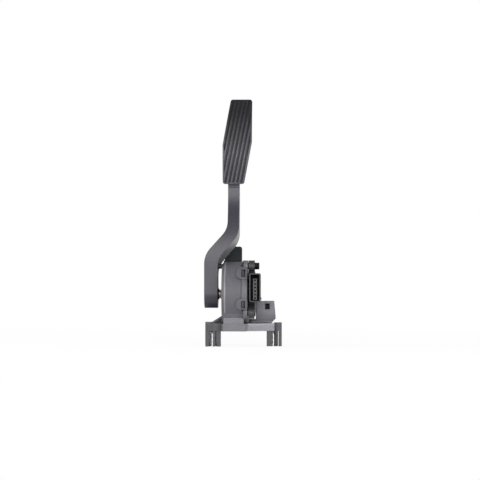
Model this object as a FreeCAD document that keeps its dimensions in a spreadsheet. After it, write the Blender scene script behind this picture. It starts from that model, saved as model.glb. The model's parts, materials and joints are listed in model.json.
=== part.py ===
import FreeCAD, Part
import math
import os
import Sketcher

# Accelerator pedal: an arm and its tread on a sprung hub in a moulded housing.
# Millimetres. X runs to the driver's right, Y away from the driver, Z up.
# The origin is the left mounting bolt's axis in the mounting plane.

doc = FreeCAD.newDocument("AcceleratorPedal")
sheet = doc.addObject("Spreadsheet::Sheet", "Sizes")
sheet_row = 0


class Dim:
    """A size that keeps its value and the formula that ties it to the sheet."""

    def __init__(self, value, formula=None):
        self.value = float(value)
        self.formula = formula or "(%r)" % float(value)

    def __add__(self, other):
        other = dim(other)
        return Dim(self.value + other.value, "(%s + %s)" % (self.formula, other.formula))

    def __radd__(self, other):
        return dim(other) + self

    def __sub__(self, other):
        other = dim(other)
        return Dim(self.value - other.value, "(%s - %s)" % (self.formula, other.formula))

    def __rsub__(self, other):
        return dim(other) - self

    def __mul__(self, other):
        other = dim(other)
        return Dim(self.value * other.value, "(%s * %s)" % (self.formula, other.formula))

    def __rmul__(self, other):
        return dim(other) * self

    def __truediv__(self, other):
        other = dim(other)
        return Dim(self.value / other.value, "(%s / %s)" % (self.formula, other.formula))

    def __neg__(self):
        return Dim(-self.value, "(0 - %s)" % self.formula)


def dim(number):
    """Anything that is a number already becomes a size with no alias."""
    return number if isinstance(number, Dim) else Dim(number)


def cosine(angle):
    return Dim(math.cos(math.radians(angle.value)), "cos(%s)" % angle.formula)


def sine(angle):
    return Dim(math.sin(math.radians(angle.value)), "sin(%s)" % angle.formula)


def root(square):
    return Dim(math.sqrt(square.value), "sqrt(%s)" % square.formula)


def size(alias, value, meaning):
    """One row of the sheet: its name, its plain number and what it measures."""
    global sheet_row
    sheet_row += 1
    sheet.set("A%d" % sheet_row, alias)
    sheet.set("B%d" % sheet_row, str(value))
    sheet.setAlias("B%d" % sheet_row, alias)
    sheet.set("C%d" % sheet_row, meaning)
    return Dim(value, "Sizes." + alias)


# Pivot and travel
pivot_setback = size("pivot_setback", 10.0, "pivot axis behind the left bolt")
pivot_height = size("pivot_height", 62.6, "pivot axis above the mounting plane")
pedal_travel = size("pedal_travel", 15.0, "degrees from idle to full load")
running_gap = size("running_gap", 0.05, "radial clearance of a turning fit")
fixed_gap = size("fixed_gap", 0.02, "radial clearance of a pressed or keyed fit")
moving_gap = size("moving_gap", 0.4, "clearance between moving faces")

# Housing drum, whose axis is the pivot
drum_left = size("drum_left", 10.8, "drum's left face")
drum_width = size("drum_width", 28.6, "drum's width along the pivot")
drum_radius = size("drum_radius", 38.6, "drum's outside radius")
drum_wall = size("drum_wall", 3.0, "wall of the drum's barrel")
end_wall = size("end_wall", 4.0, "wall of the drum's left end")
rim_bevel = size("rim_bevel", 2.2, "bevel of the drum's left rim")
hub_radius = size("hub_radius", 13.5, "raised hub round the shaft")
hub_rise = size("hub_rise", 1.0, "hub stands proud of the left face")
bearing_length = size("bearing_length", 10.0, "length of the left bush")
bearing_boss = size("bearing_boss", 8.0, "radius of the boss inside the drum")

# Base and feet
foot_height = size("foot_height", 18.4, "underside of the base above the mounting plane")
base_thickness = size("base_thickness", 9.2, "thickness of the base")
base_skin = size("base_skin", 3.2, "top skin over the cells of the base")
base_wall = size("base_wall", 2.4, "wall round those cells")
cell_pitch = size("cell_pitch", 13.0, "pitch of the ribs between the cells")
cell_rib = size("cell_rib", 1.8, "width of those ribs")
plinth_rise = size("plinth_rise", 11.8, "plinth above the base")
front_wall_reach = size("front_wall_reach", 26.7, "front wall before the pivot axis")
plinth_inset = size("plinth_inset", 2.2, "plinth narrower than the drum at each side")
leg_width = size("leg_width", 17.8, "a foot's width")
leg_depth = size("leg_depth", 18.0, "a foot's depth over its ribs")
leg_rib = size("leg_rib", 6.0, "ribs stand proud of a foot's core")
leg_lift = size("leg_lift", 3.6, "a foot's core ends above its ribs")
collar_height = size("collar_height", 3.0, "collar that joins a foot's ribs under the base")
collar_inset = size("collar_inset", 3.2, "collar behind the faces of the ribs")
edge_rib = size("edge_rib", 4.2, "width of a foot's edge ribs")
middle_rib = size("middle_rib", 2.6, "width of a foot's middle rib")
right_foot_across = size("right_foot_across", 73.0, "right bolt's axis from the left bolt")
right_foot_back = size("right_foot_back", 11.0, "right bolt's axis behind the left bolt")
rear_foot_across = size("rear_foot_across", -2.8, "rear bolt's axis from the left bolt")
rear_foot_back = size("rear_foot_back", 50.0, "rear bolt's axis behind the left bolt")
sleeve_bore = size("sleeve_bore", 3.3, "bolt clearance radius in a sleeve")
sleeve_wall = size("sleeve_wall", 1.2, "wall of a compression sleeve")
boss_radius = size("boss_radius", 4.7, "round boss on the right foot")
boss_slot = size("boss_slot", 1.6, "slot down the round boss and through the foot")
boss_inset = size("boss_inset", 4.4, "round boss's axis inside the right foot's outer side")
boss_rise = size("boss_rise", 1.0, "round boss stands proud of the base")
broad_rib = size("broad_rib", 6.4, "width of the right foot's broad rib")
rib_offset = size("rib_offset", 1.2, "a foot's middle rib to the right of its middle")
gusset_rise = size("gusset_rise", 9.4, "gusset's height up the drum")
gusset_run = size("gusset_run", 15.8, "gusset's length along the left foot")
gusset_width = size("gusset_width", 12.0, "gusset's width")
gusset_recess = size("gusset_recess", 2.0, "recess in the gusset's face")
gusset_border = size("gusset_border", 2.2, "border left round that recess")

# Lugs for the sensor, on a circle about the pivot
lug_circle = size("lug_circle", 38.0, "radius of the circle of sensor lugs")
lug_radius = size("lug_radius", 6.8, "radius of a lug")
upper_lug_angle = size("upper_lug_angle", 117.2, "upper lug, degrees from straight back")
lower_lug_angle = size("lower_lug_angle", 215.4, "lower lug, degrees from straight back")
rear_lug_angle = size("rear_lug_angle", 350.0, "rear lug, degrees from straight back")
lug_boss_depth = size("lug_boss_depth", 2.4, "depth of a lug on the housing")
screw_root = size("screw_root", 3.8, "radius of the boss that a screw cuts into")
screw_reach = size("screw_reach", 7.0, "depth of that boss inside the drum")
screw_radius = size("screw_radius", 2.0, "screw shank")
screw_hole = size("screw_hole", 2.3, "clearance hole for a screw")

# Snap tabs of the cover, on catches of the drum
snap_left = size("snap_left", 28.0, "left end of a snap tab")
snap_rise = size("snap_rise", 2.2, "outside of a snap tab above the drum")
snap_height = size("snap_height", 14.4, "height of a snap tab")
snap_upper_middle = size("snap_upper_middle", 25.5, "upper snap tab above the pivot")
snap_lower_middle = size("snap_lower_middle", -11.8, "lower snap tab above the pivot")
window_left = size("window_left", 34.6, "left end of a tab's window")
window_height = size("window_height", 8.6, "height of that window")
catch_gap = size("catch_gap", 0.6, "clearance round a catch in its window")
catch_length = size("catch_length", 2.6, "length of a catch along the pivot")
catch_rise = size("catch_rise", 1.3, "catch stands proud of the drum")
skirt_left = size("skirt_left", 35.2, "left end of the cover's skirt")
skirt_gap = size("skirt_gap", 0.1, "skirt clear of the drum")
skirt_wall = size("skirt_wall", 1.5, "wall of the skirt")
skirt_bottom = size("skirt_bottom", 40.2, "lower end of the skirt above the mounting plane")

# Cover
cover_thickness = size("cover_thickness", 2.4, "cover plate")
cover_boss_depth = size("cover_boss_depth", 6.0, "depth of the cover's bearing boss")
cover_boss = size("cover_boss", 7.7, "radius of the cover's bearing boss")

# Shaft and bushes
shaft_radius = size("shaft_radius", 3.5, "pivot shaft")
shaft_left = size("shaft_left", -9.8, "left end of the shaft")
shaft_right = size("shaft_right", 47.4, "right end of the shaft")
bush_wall = size("bush_wall", 1.2, "wall of a bush")
flange_radius = size("flange_radius", 5.4, "flange of the left bush")
flange_thickness = size("flange_thickness", 1.4, "thickness of that flange")
washer_radius = size("washer_radius", 5.1, "radius of the thrust washer")
washer_thickness = size("washer_thickness", 1.0, "thrust washer")
clip_radius = size("clip_radius", 5.6, "shaft clip")
clip_thickness = size("clip_thickness", 0.9, "thickness of the shaft clip")

# Inside the drum
carrier_radius = size("carrier_radius", 30.0, "spring carrier's flange")
carrier_flange = size("carrier_flange", 2.6, "thickness of that flange")
carrier_hub = size("carrier_hub", 8.0, "radius of the carrier's hub")
outer_coil = size("outer_coil", 23.0, "mean radius of the outer spring")
outer_wire = size("outer_wire", 1.4, "wire radius of the outer spring")
inner_coil = size("inner_coil", 13.0, "mean radius of the inner spring")
inner_wire = size("inner_wire", 1.1, "wire radius of the inner spring")
coil_turns = size("coil_turns", 3.0, "turns of each return spring")
shoe_thickness = size("shoe_thickness", 4.0, "radial thickness of the friction shoe")
shoe_width = size("shoe_width", 9.0, "width of the friction shoe")
shoe_spread = size("shoe_spread", 100.0, "degrees that the friction shoe spans")
finger_width = size("finger_width", 8.0, "width of the finger that drives the shoe")
anchor_length = size("anchor_length", 9.0, "length of the spring anchor pin")
anchor_radius = size("anchor_radius", 1.6, "spring anchor pin")
anchor_circle = size("anchor_circle", 18.2, "spring anchor pin from the pivot")

# Arm, as seen from the driver
arm_left = size("arm_left", -10.6, "left side of the lower arm")
arm_width = size("arm_width", 16.0, "width of the lower arm")
stem_left = size("stem_left", 17.2, "left side of the upper arm")
stem_width = size("stem_width", 13.8, "width of the upper arm")
bend_start = size("bend_start", 110.1, "height of the lower bend at its left corner")
bend_end = size("bend_end", 143.0, "height of the upper bend at its left corner")
bend_drop = size("bend_drop", 4.4, "right corner of the lower bend lies lower")
stem_drop = size("stem_drop", 7.0, "right corner of the upper bend lies lower")
bend_radius = size("bend_radius", 27.0, "radius of each bend")
hub_end = size("hub_end", 16.8, "radius of the arm's lower end about the pivot")
arm_slope = size("arm_slope", 17.0, "degrees that the sides of the arm fall to the back")
lean_start = size("lean_start", 132.0, "height of the corner where the front starts to lean")
lean_end = size("lean_end", 174.0, "height of the corner where the lean ends")
lean_round_low = size("lean_round_low", 122.0, "radius of the front at the lower corner")
lean_round_high = size("lean_round_high", 60.0, "radius of the front at the upper corner")
back_bend = size("back_bend", 98.0, "height where the back starts to lean")
stem_front = size("stem_front", 6.0, "front of the upper arm behind the pivot axis")
arm_back = size("arm_back", 13.5, "back of the lower arm behind the pivot axis")
stem_back = size("stem_back", 21.0, "back of the upper arm behind the pivot axis")
stem_top = size("stem_top", 268.0, "top of the upper arm")
stem_top_back = size("stem_top_back", 12.0, "back of the arm's top behind the pivot axis")
hub_wall = size("hub_wall", 4.0, "solid web over the hub and under the arm's top")
neck_rise = size("neck_rise", 8.0, "arm comes forward to the plate this far up the pad")
arm_skin = size("arm_skin", 3.2, "front skin of the arm")
arm_side_wall = size("arm_side_wall", 2.6, "side walls of the arm")
arm_rib = size("arm_rib", 1.8, "ribs across the arm's channel")
rib_pitch = size("rib_pitch", 15.0, "pitch of those ribs")
arm_boss = size("arm_boss", 1.6, "arm's boss stands out towards the housing")
arm_boss_radius = size("arm_boss_radius", 6.6, "radius of that boss")
peg_radius = size("peg_radius", 2.9, "travel peg")
peg_height = size("peg_height", 33.3, "travel peg above the pivot")
slot_depth = size("slot_depth", 2.8, "depth of the peg's slot in the drum")

# Pad, a six-sided tread on a curved backing plate
pad_middle = size("pad_middle", 28.6, "pad's middle across")
pad_width = size("pad_width", 35.2, "pad's width")
pad_bottom = size("pad_bottom", 195.0, "pad's lower edge")
pad_height = size("pad_height", 102.2, "pad's height")
pad_side = size("pad_side", 9.6, "run of a slanted side, as width lost")
pad_straight = size("pad_straight", 46.6, "length of each upright side")
pad_corner = size("pad_corner", 3.0, "radius of the pad's corners")
pad_curve = size("pad_curve", 150.0, "radius of the tread's crown")
crown_height = size("crown_height", 233.0, "height where the tread faces the driver")
pad_front = size("pad_front", -6.0, "tread's front behind the pivot axis")
pad_thickness = size("pad_thickness", 6.0, "thickness of the rubber tread")
plate_thickness = size("plate_thickness", 3.4, "backing plate of the arm")
plate_inset = size("plate_inset", 1.6, "backing plate inside the pad's edge")
groove_pitch = size("groove_pitch", 4.7, "pitch of the grooves across the tread")
groove_width = size("groove_width", 2.3, "width of a groove")
groove_depth = size("groove_depth", 1.3, "depth of a groove")
groove_lean = size("groove_lean", 11.6, "degrees that the grooves lean")
groove_border = size("groove_border", 1.7, "plain border round the grooves")

# Full-load stop
stop_left = size("stop_left", 12.2, "left side of the stop")
stop_width = size("stop_width", 20.6, "width of the stop")
stop_round = size("stop_round", 3.0, "round of the stop's upper side edges")
flange_left = size("flange_left", 11.0, "left end of the flange at the stop's foot")
flange_top = size("flange_top", 102.6, "top of that flange")
stop_top = size("stop_top", 119.6, "top of the stop")
stop_depth = size("stop_depth", 8.0, "depth of the stop's core")
core_bottom = size("core_bottom", 78.0, "lower end of the stop's core, inside the drum's wall")
bumper_wall = size("bumper_wall", 2.4, "rubber over the stop's core")
bumper_bottom = size("bumper_bottom", 97.0, "lower edge of the rubber")

# Sensor
sensor_gap = size("sensor_gap", 1.2, "sensor stands off the cover")
sensor_width = size("sensor_width", 7.2, "sensor's width")
sensor_radius = size("sensor_radius", 27.0, "sensor's case")
sensor_wall = size("sensor_wall", 2.0, "wall of the case")
sensor_neck = size("sensor_neck", 12.0, "spigot between sensor and cover")
lug_pad = size("lug_pad", 3.6, "half the width of the pad under a sensor lug")
lid_thickness = size("lid_thickness", 1.4, "lid of the sensor")
board_gap = size("board_gap", 0.3, "clearance round the circuit board")
shaft_room = size("shaft_room", 1.0, "clearance round the shaft in the sensor")
web_width = size("web_width", 9.8, "width of the web to a sensor lug")
board_thickness = size("board_thickness", 1.0, "circuit board")
rotor_radius = size("rotor_radius", 8.0, "rotor on the shaft's end")
seal_width = size("seal_width", 1.8, "width of the flat seal")
head_flats = size("head_flats", 8.0, "screw head across its flats")
head_height = size("head_height", 5.5, "height of a screw head")

# Connector on the sensor
socket_left = size("socket_left", 44.5, "left side of the connector")
socket_width = size("socket_width", 13.3, "connector's width")
socket_bottom = size("socket_bottom", 54.0, "connector's lower side")
socket_height = size("socket_height", 34.0, "connector's height")
socket_mouth = size("socket_mouth", -34.0, "connector's mouth, from the left bolt")
socket_depth = size("socket_depth", 15.0, "depth of the connector's cavity")
socket_wall = size("socket_wall", 1.3, "wall of the connector")
socket_floor = size("socket_floor", 2.0, "floor of the connector")
socket_corner = size("socket_corner", 2.2, "corner radius of the connector")
insert_width = size("insert_width", 4.8, "terminal block's width")
insert_height = size("insert_height", 25.0, "terminal block's height")
insert_lift = size("insert_lift", 1.2, "terminal block above the cavity's floor line")
insert_length = size("insert_length", 8.6, "terminal block's length")
way_pitch = size("way_pitch", 4.2, "pitch of the terminals")
way_width = size("way_width", 1.9, "width of a terminal's square hole")
pin_width = size("pin_width", 0.9, "width of a terminal")
pin_recess = size("pin_recess", 4.6, "terminal's end behind the block's face")
nub_rise = size("nub_rise", 1.1, "latch nub on the connector's side")
nub_height = size("nub_height", 2.6, "height of the nub")
nub_lift = size("nub_lift", 2.8, "nub above the connector's lower side")
nub_length = size("nub_length", 5.0, "length of the nub")

# Side bracket
bracket_left = size("bracket_left", 52.6, "bracket's left side")
bracket_right = size("bracket_right", 74.9, "bracket's right side at its widest")
bracket_tail = size("bracket_tail", 44.0, "left end of the bracket's skirt")
tail_height = size("tail_height", 5.0, "height of the skirt's left end")
bracket_top = size("bracket_top", 54.4, "bracket's top")
bracket_front = size("bracket_front", 10.0, "bracket's front face")
bracket_thickness = size("bracket_thickness", 3.0, "bracket's thickness")
bracket_taper = size("bracket_taper", 1.9, "bracket narrower at its top")
corner_run = size("corner_run", 5.4, "width of the bracket's cut corner")
corner_rise = size("corner_rise", 5.6, "height of that corner")
bracket_flare = size("bracket_flare", 5.0, "skirt's foot before the front face")
crease_height = size("crease_height", 38.4, "skirt's crease at the bracket's middle")
crease_slant = size("crease_slant", 10.0, "degrees that the crease rises to the right")
clip_hole_left = size("clip_hole_left", 61.9, "clip pocket's left side")
clip_hole_width = size("clip_hole_width", 5.6, "clip pocket's width")
clip_hole_bottom = size("clip_hole_bottom", 44.2, "clip pocket's lower side")
clip_hole_height = size("clip_hole_height", 7.0, "clip pocket's height")
pocket_depth = size("pocket_depth", 7.0, "depth of the clip pocket")
pocket_wall = size("pocket_wall", 1.4, "wall round the clip pocket")

doc.recompute()

WAYS = 6
HEXAGON = 6
OCTAGON = 8
COIL_STEPS = 16
X_AXIS = FreeCAD.Rotation(FreeCAD.Vector(0, 1, 0), 90)
Y_AXIS = FreeCAD.Rotation(FreeCAD.Vector(1, 0, 0), -90)
Z_AXIS = FreeCAD.Rotation()
TOUCH = 0.1
SINK = 0.5
MARGIN = 2.0
OVERRUN = 20.0
VIEW_DEPTH = 70.0
FAR = 400.0


def bind(thing, path, value):
    thing.setExpression(path, dim(value).formula)


def place(thing, x, y, z, turn=Z_AXIS):
    thing.Placement = FreeCAD.Placement(FreeCAD.Vector(), turn)
    bind(thing, "Placement.Base.x", x)
    bind(thing, "Placement.Base.y", y)
    bind(thing, "Placement.Base.z", z)


def block(label, x, y, z):
    """A box between a low and a high size on each axis."""
    item = doc.addObject("Part::Box", label)
    bind(item, "Length", x[1] - x[0])
    bind(item, "Width", y[1] - y[0])
    bind(item, "Height", z[1] - z[0])
    place(item, x[0], y[0], z[0])
    return item


def rod(label, radius, start, end, y=pivot_setback, z=pivot_height):
    """A cylinder along X, on the pivot unless told otherwise."""
    item = doc.addObject("Part::Cylinder", label)
    bind(item, "Radius", radius)
    bind(item, "Height", end - start)
    place(item, start, y, z, X_AXIS)
    return item


def post(label, radius, x, y, bottom, top):
    """An upright cylinder."""
    item = doc.addObject("Part::Cylinder", label)
    bind(item, "Radius", radius)
    bind(item, "Height", top - bottom)
    place(item, x, y, bottom)
    return item


def drill(label, radius, x, z, front, back):
    """A cylinder along Y."""
    item = doc.addObject("Part::Cylinder", label)
    bind(item, "Radius", radius)
    bind(item, "Height", back - front)
    place(item, x, front, z, Y_AXIS)
    return item


def fuse(label, *pieces):
    item = doc.addObject("Part::MultiFuse", label)
    item.Shapes = list(pieces)
    item.Refine = True
    return item


def cut(label, base, *tools):
    item = doc.addObject("Part::Cut", label)
    item.Base = base
    item.Tool = tools[0] if len(tools) == 1 else fuse(label + "_tools", *tools)
    item.Refine = True
    return item


def common(label, first, second):
    item = doc.addObject("Part::Common", label)
    item.Base = first
    item.Tool = second
    item.Refine = True
    return item


def sketch_on(body, role, lift):
    sketch = body.newObject("Sketcher::SketchObject", body.Name + "_outline")
    plane = [item for item in body.Origin.OriginFeatures if item.Role == role + "_Plane"][0]
    sketch.AttachmentSupport = (plane, [""])
    sketch.MapMode = "FlatFace"
    bind(sketch, "AttachmentOffset.Base.z", lift)
    return sketch


def outline(sketch, corners):
    """Straight sides through the corners, each tied to the origin by two sizes."""
    places = [FreeCAD.Vector(dim(a).value, dim(b).value, 0) for a, b in corners]
    count = len(places)
    for i in range(count):
        sketch.addGeometry(Part.LineSegment(places[i], places[(i + 1) % count]), False)
    for i in range(count):
        sketch.addConstraint(Sketcher.Constraint("Coincident", i, 2, (i + 1) % count, 1))
    for i, corner in enumerate(corners):
        for kind, value in zip(("DistanceX", "DistanceY"), corner):
            index = sketch.addConstraint(Sketcher.Constraint(kind, -1, 1, i, 1, dim(value).value))
            bind(sketch, "Constraints[%d]" % index, value)


def round_edges(body, radius, chosen):
    """Rounds the edges of the body's tip that the test picks."""
    doc.recompute()
    tip = body.Tip
    names = ["Edge%d" % (i + 1) for i, edge in enumerate(tip.Shape.Edges) if chosen(edge)]
    fillet = body.newObject("PartDesign::Fillet", body.Name + "_round")
    fillet.Base = (tip, names)
    bind(fillet, "Radius", radius)
    return fillet


def prism(label, role, corners, low, high):
    """An outline carried from its low to its high plane: XY up, YZ across, XZ back."""
    body = doc.addObject("PartDesign::Body", label)
    lift = -dim(high) if role == "XZ" else low
    outline(sketch_on(body, role, lift), corners)
    pad = body.newObject("PartDesign::Pad", body.Name + "_pad")
    pad.Profile = body.Group[-2]
    bind(pad, "Length", dim(high) - low)
    return body


def sloped_prism(label, corners, front, depth, slope):
    """A front view carried back along a line that falls at the slope."""
    body = doc.addObject("PartDesign::Body", label)
    outline(sketch_on(body, "XZ", -front), corners)
    pad = body.newObject("PartDesign::Pad", body.Name + "_pad")
    pad.Profile = body.Group[-2]
    pad.AlongSketchNormal = False
    pad.UseCustomVector = True
    bind(pad, "Length", depth)
    bind(pad, "Direction.x", 0)
    bind(pad, "Direction.y", cosine(slope))
    bind(pad, "Direction.z", -sine(slope))
    return body


def runs_back(edge):
    """True for an edge that leads from the front to the back."""
    line = edge.Vertexes[-1].Point - edge.Vertexes[0].Point
    return abs(line.y) > 0.5 * line.Length > 0


nodes = {}


def bar(label, sides, radius, start, end, y=pivot_setback, z=pivot_height):
    """A bar with equal flat sides along X, measured over its corners."""
    item = doc.addObject("Part::Prism", label)
    item.Polygon = sides
    bind(item, "Circumradius", radius)
    bind(item, "Height", end - start)
    place(item, start, y, z, X_AXIS)
    return item


def keep(name, item):
    item.Label = name
    nodes[name] = item
    return item


# Planes and places that several pieces share
drum_right = drum_left + drum_width
cover_right = drum_right + cover_thickness
hub_left = drum_left - hub_rise
base_top = foot_height + base_thickness
drum_bore = drum_radius - drum_wall
inner_left = drum_left + end_wall
sensor_left = cover_right + sensor_gap
sensor_right = sensor_left + sensor_width
arm_right = arm_left + arm_width
stem_right = stem_left + stem_width
front_wall = pivot_setback - front_wall_reach
boss_across = right_foot_across + leg_width / 2 - boss_inset
boss_back = right_foot_back - leg_depth / 2 + boss_radius
plate_curve = pad_curve - pad_thickness
crown_middle = pivot_setback + pad_front + pad_curve


def lug_place(angle):
    return (pivot_setback + lug_circle * cosine(angle), pivot_height + lug_circle * sine(angle))


LUGS = {"upper": upper_lug_angle, "lower": lower_lug_angle, "rear": rear_lug_angle}
SCREWED = ("upper", "rear")


# Drum
def make_drum():
    body = doc.addObject("PartDesign::Body", "drum_blank")
    sketch = sketch_on(body, "YZ", drum_left)
    middle = FreeCAD.Vector(pivot_setback.value, pivot_height.value, 0)
    sketch.addGeometry(Part.Circle(middle, FreeCAD.Vector(0, 0, 1), drum_radius.value), False)
    for kind, value in (("DistanceX", pivot_setback), ("DistanceY", pivot_height)):
        index = sketch.addConstraint(Sketcher.Constraint(kind, -1, 1, 0, 3, value.value))
        bind(sketch, "Constraints[%d]" % index, value)
    index = sketch.addConstraint(Sketcher.Constraint("Radius", 0, drum_radius.value))
    bind(sketch, "Constraints[%d]" % index, drum_radius)
    pad = body.newObject("PartDesign::Pad", "drum_pad")
    pad.Profile = sketch
    bind(pad, "Length", drum_width)
    doc.recompute()
    rims = ["Edge%d" % (i + 1) for i, edge in enumerate(pad.Shape.Edges)
            if edge.BoundBox.XMax < drum_left.value + TOUCH]
    bevel = body.newObject("PartDesign::Chamfer", "drum_rim")
    bevel.Base = (pad, rims)
    bind(bevel, "Size", rim_bevel)
    return body


def stadium(label, left, right, middle, height):
    """A form before the pivot axis whose left end is a half round, as seen from the front."""
    half = height / 2
    front = dim(-FAR)
    straight = block(label + "_straight", (left + half, right), (front, pivot_setback),
                     (middle - half, middle + half))
    end = drill(label + "_end", half, left + half, middle, front, pivot_setback)
    field = block(label + "_field", (left - 1, right), (front - 1, pivot_setback + 1),
                  (middle - height, middle + height))
    return common(label, fuse(label + "_whole", straight, end), field)


def patch(label, form, inside, outside):
    """The part of a form that lies between two radii of the drum."""
    shell = rod(label + "_shell", outside, dim(0), dim(FAR))
    core = rod(label + "_core", inside, dim(0) - 1, dim(FAR) + 1)
    return cut(label, common(label + "_patch", form, shell), core)


def snap_tab(name, middle):
    form = stadium("tab_form_" + name, snap_left, cover_right, pivot_height + middle, snap_height)
    return patch("tab_" + name, form, drum_radius + skirt_gap, drum_radius + snap_rise)


def front_patch(label, left, right, middle, height, inside, outside):
    """A four-sided patch on the drum's front, between two radii."""
    low = pivot_height + middle - height / 2
    form = block(label + "_form", (left, right), (dim(-FAR), pivot_setback), (low, low + height))
    return patch(label, form, inside, outside)


SNAPS = {"upper": snap_upper_middle, "lower": snap_lower_middle}


def sleeve_seat(label, across, back):
    """The upright hole that a foot's sleeve is pressed into."""
    return post(label, sleeve_bore + sleeve_wall + fixed_gap, across, back,
                dim(0) - MARGIN, base_top + MARGIN)


def foot_core(name, across, back):
    half = leg_width / 2
    deep = leg_depth / 2 - leg_rib
    return block(name + "_core", (across - half, across + half), (back - deep, back + deep),
                 (leg_lift, foot_height))


def foot_collar(name, across, back):
    """The collar round the sleeve's top, which the ribs hang from."""
    half = leg_width / 2
    deep = leg_depth / 2 - collar_inset
    return block(name + "_collar", (across - half, across + half), (back - deep, back + deep),
                 (foot_height - collar_height, foot_height))


def make_foot(name, across, back):
    """A foot: ribs at the front and back of a thin core, which leave its sleeve in view."""
    half = leg_width / 2
    deep = leg_depth / 2
    pieces = [foot_core(name, across, back), foot_collar(name, across, back)]
    for side, low, wide in (
        ("left", across - half, edge_rib),
        ("middle", across + rib_offset - middle_rib / 2, middle_rib),
        ("right", across + half - edge_rib, edge_rib),
    ):
        pieces.append(block("%s_%s_rib" % (name, side), (low, low + wide),
                            (back - deep, back + deep), (dim(0), foot_height)))
    keep(name, cut(name + "_drilled", fuse(name + "_blank", *pieces),
                   sleeve_seat(name + "_seat", across, back)))


def right_boss(label):
    """The round boss at the front of the right foot, which stands proud of the base."""
    return post(label, boss_radius, boss_across, boss_back, dim(0), base_top + boss_rise)


def make_right_foot():
    """The right foot: a broad rib and a round boss, with a slot between their halves."""
    name = "right_foot"
    across = right_foot_across
    back = right_foot_back
    half = leg_width / 2
    deep = leg_depth / 2
    broad = block(name + "_broad_rib", (across - half, across - half + broad_rib),
                  (back - deep, back + deep), (dim(0), foot_height))
    edge = block(name + "_edge_rib", (across + half - edge_rib, across + half),
                 (back, back + deep), (dim(0), foot_height))
    blank = fuse(name + "_blank", foot_core(name, across, back), foot_collar(name, across, back),
                 broad, edge, right_boss(name + "_boss"))
    slot = block(name + "_slot", (boss_across - boss_slot / 2, boss_across + boss_slot / 2),
                 (back - deep - MARGIN, back + deep + MARGIN), (dim(0) - MARGIN, foot_height))
    keep(name, cut(name + "_drilled", blank, slot, sleeve_seat(name + "_seat", across, back)))


def base_outline(label, across, back, bottom, top):
    """The base in plan, from the left foot round to the rear foot, moved in X and Y."""
    half = leg_width / 2
    deep = leg_depth / 2
    corners = [
        (-half, -deep),
        (drum_left, -deep),
        (drum_left, front_wall),
        (drum_right, front_wall),
        (drum_right, -deep),
        (boss_across - boss_radius, right_foot_back - deep),
        (boss_across, boss_back),
        (right_foot_across + half, boss_back),
        (right_foot_across + half, right_foot_back + deep),
        (rear_foot_across + half, rear_foot_back + deep),
        (rear_foot_across - half, rear_foot_back + deep),
        (rear_foot_across - half, rear_foot_back - deep),
        (-half, deep),
    ]
    return prism(label, "XY", [(x + across, y + back) for x, y in corners], bottom, top)


def make_cells():
    """The cells under the base: its outline moved in by a wall, less ribs and the feet."""
    low = foot_height - 1
    high = base_top - base_skin
    field = None
    for name, across, back in (("right", base_wall, dim(0)), ("left", -base_wall, dim(0)),
                               ("back", dim(0), base_wall), ("front", dim(0), -base_wall)):
        moved = base_outline("cells_" + name, across, back, low, high)
        field = common("cells_in_" + name, field, moved) if field else moved
    ribs = []
    room = (low - 1, high + 1)
    rib_half = cell_rib / 2
    for i in range(int(right_foot_across.value / cell_pitch.value) + 1):
        x = drum_left + cell_pitch * i
        ribs.append(block("rib_back_%d" % (i + 1), (x - rib_half, x + rib_half),
                          (dim(-FAR), dim(FAR)), room))
    for i in range(int(rear_foot_back.value / cell_pitch.value) + 2):
        y = cell_pitch * i
        ribs.append(block("rib_across_%d" % (i + 1), (dim(-FAR), dim(FAR)),
                          (y - rib_half, y + rib_half), room))
    ribs.append(block("cover_land", (drum_right - cell_rib, sensor_left + cell_rib),
                      (dim(-FAR), dim(FAR)), room))
    for name, x, y in FEET:
        half = leg_width / 2 + base_wall
        deep = leg_depth / 2 + base_wall
        ribs.append(block("foot_land_" + name, (x - half, x + half), (y - deep, y + deep), room))
    return cut("base_cells", field, *ribs)


def make_base(drum):
    """The base plate with its gusset, drilled for the sleeves and with cells underneath."""
    plate = base_outline("plate_outline", dim(0), dim(0), foot_height, base_top)
    tools = [right_boss("boss_seat"),
             make_cells(),
             rod("plate_drum_bore", drum_bore, inner_left, drum_right + MARGIN),
             rod("cover_seat", drum_radius + moving_gap, drum_right, sensor_left)]
    for name, x, y in FEET:
        tools.append(sleeve_seat("plate_seat_" + name, x, y))
    keep("base_plate", cut("plate_finished", fuse("plate_whole", plate, make_gusset(drum)), *tools))


def make_gusset(drum):
    """The web from the left foot up to the drum, shaped to the drum's rim."""
    foot = base_top - SINK
    corners = [(drum_left + 1, foot), (drum_left + 1, base_top + gusset_rise),
               (drum_left, base_top + gusset_rise), (drum_left - gusset_run, foot)]
    whole = prism("gusset_blank", "XZ", corners, -gusset_width / 2, gusset_width / 2)
    right = drum_left - gusset_border / 2
    low = base_top + gusset_border / 2
    inner = [(right, low), (right, base_top + gusset_rise - gusset_border * 3 / 2),
             (drum_left - gusset_run + gusset_border * 3, low)]
    face = -gusset_width / 2
    recess = prism("gusset_hollow", "XZ", inner, face - 1, face + gusset_recess)
    return cut("gusset", whole, recess, drum)


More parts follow.
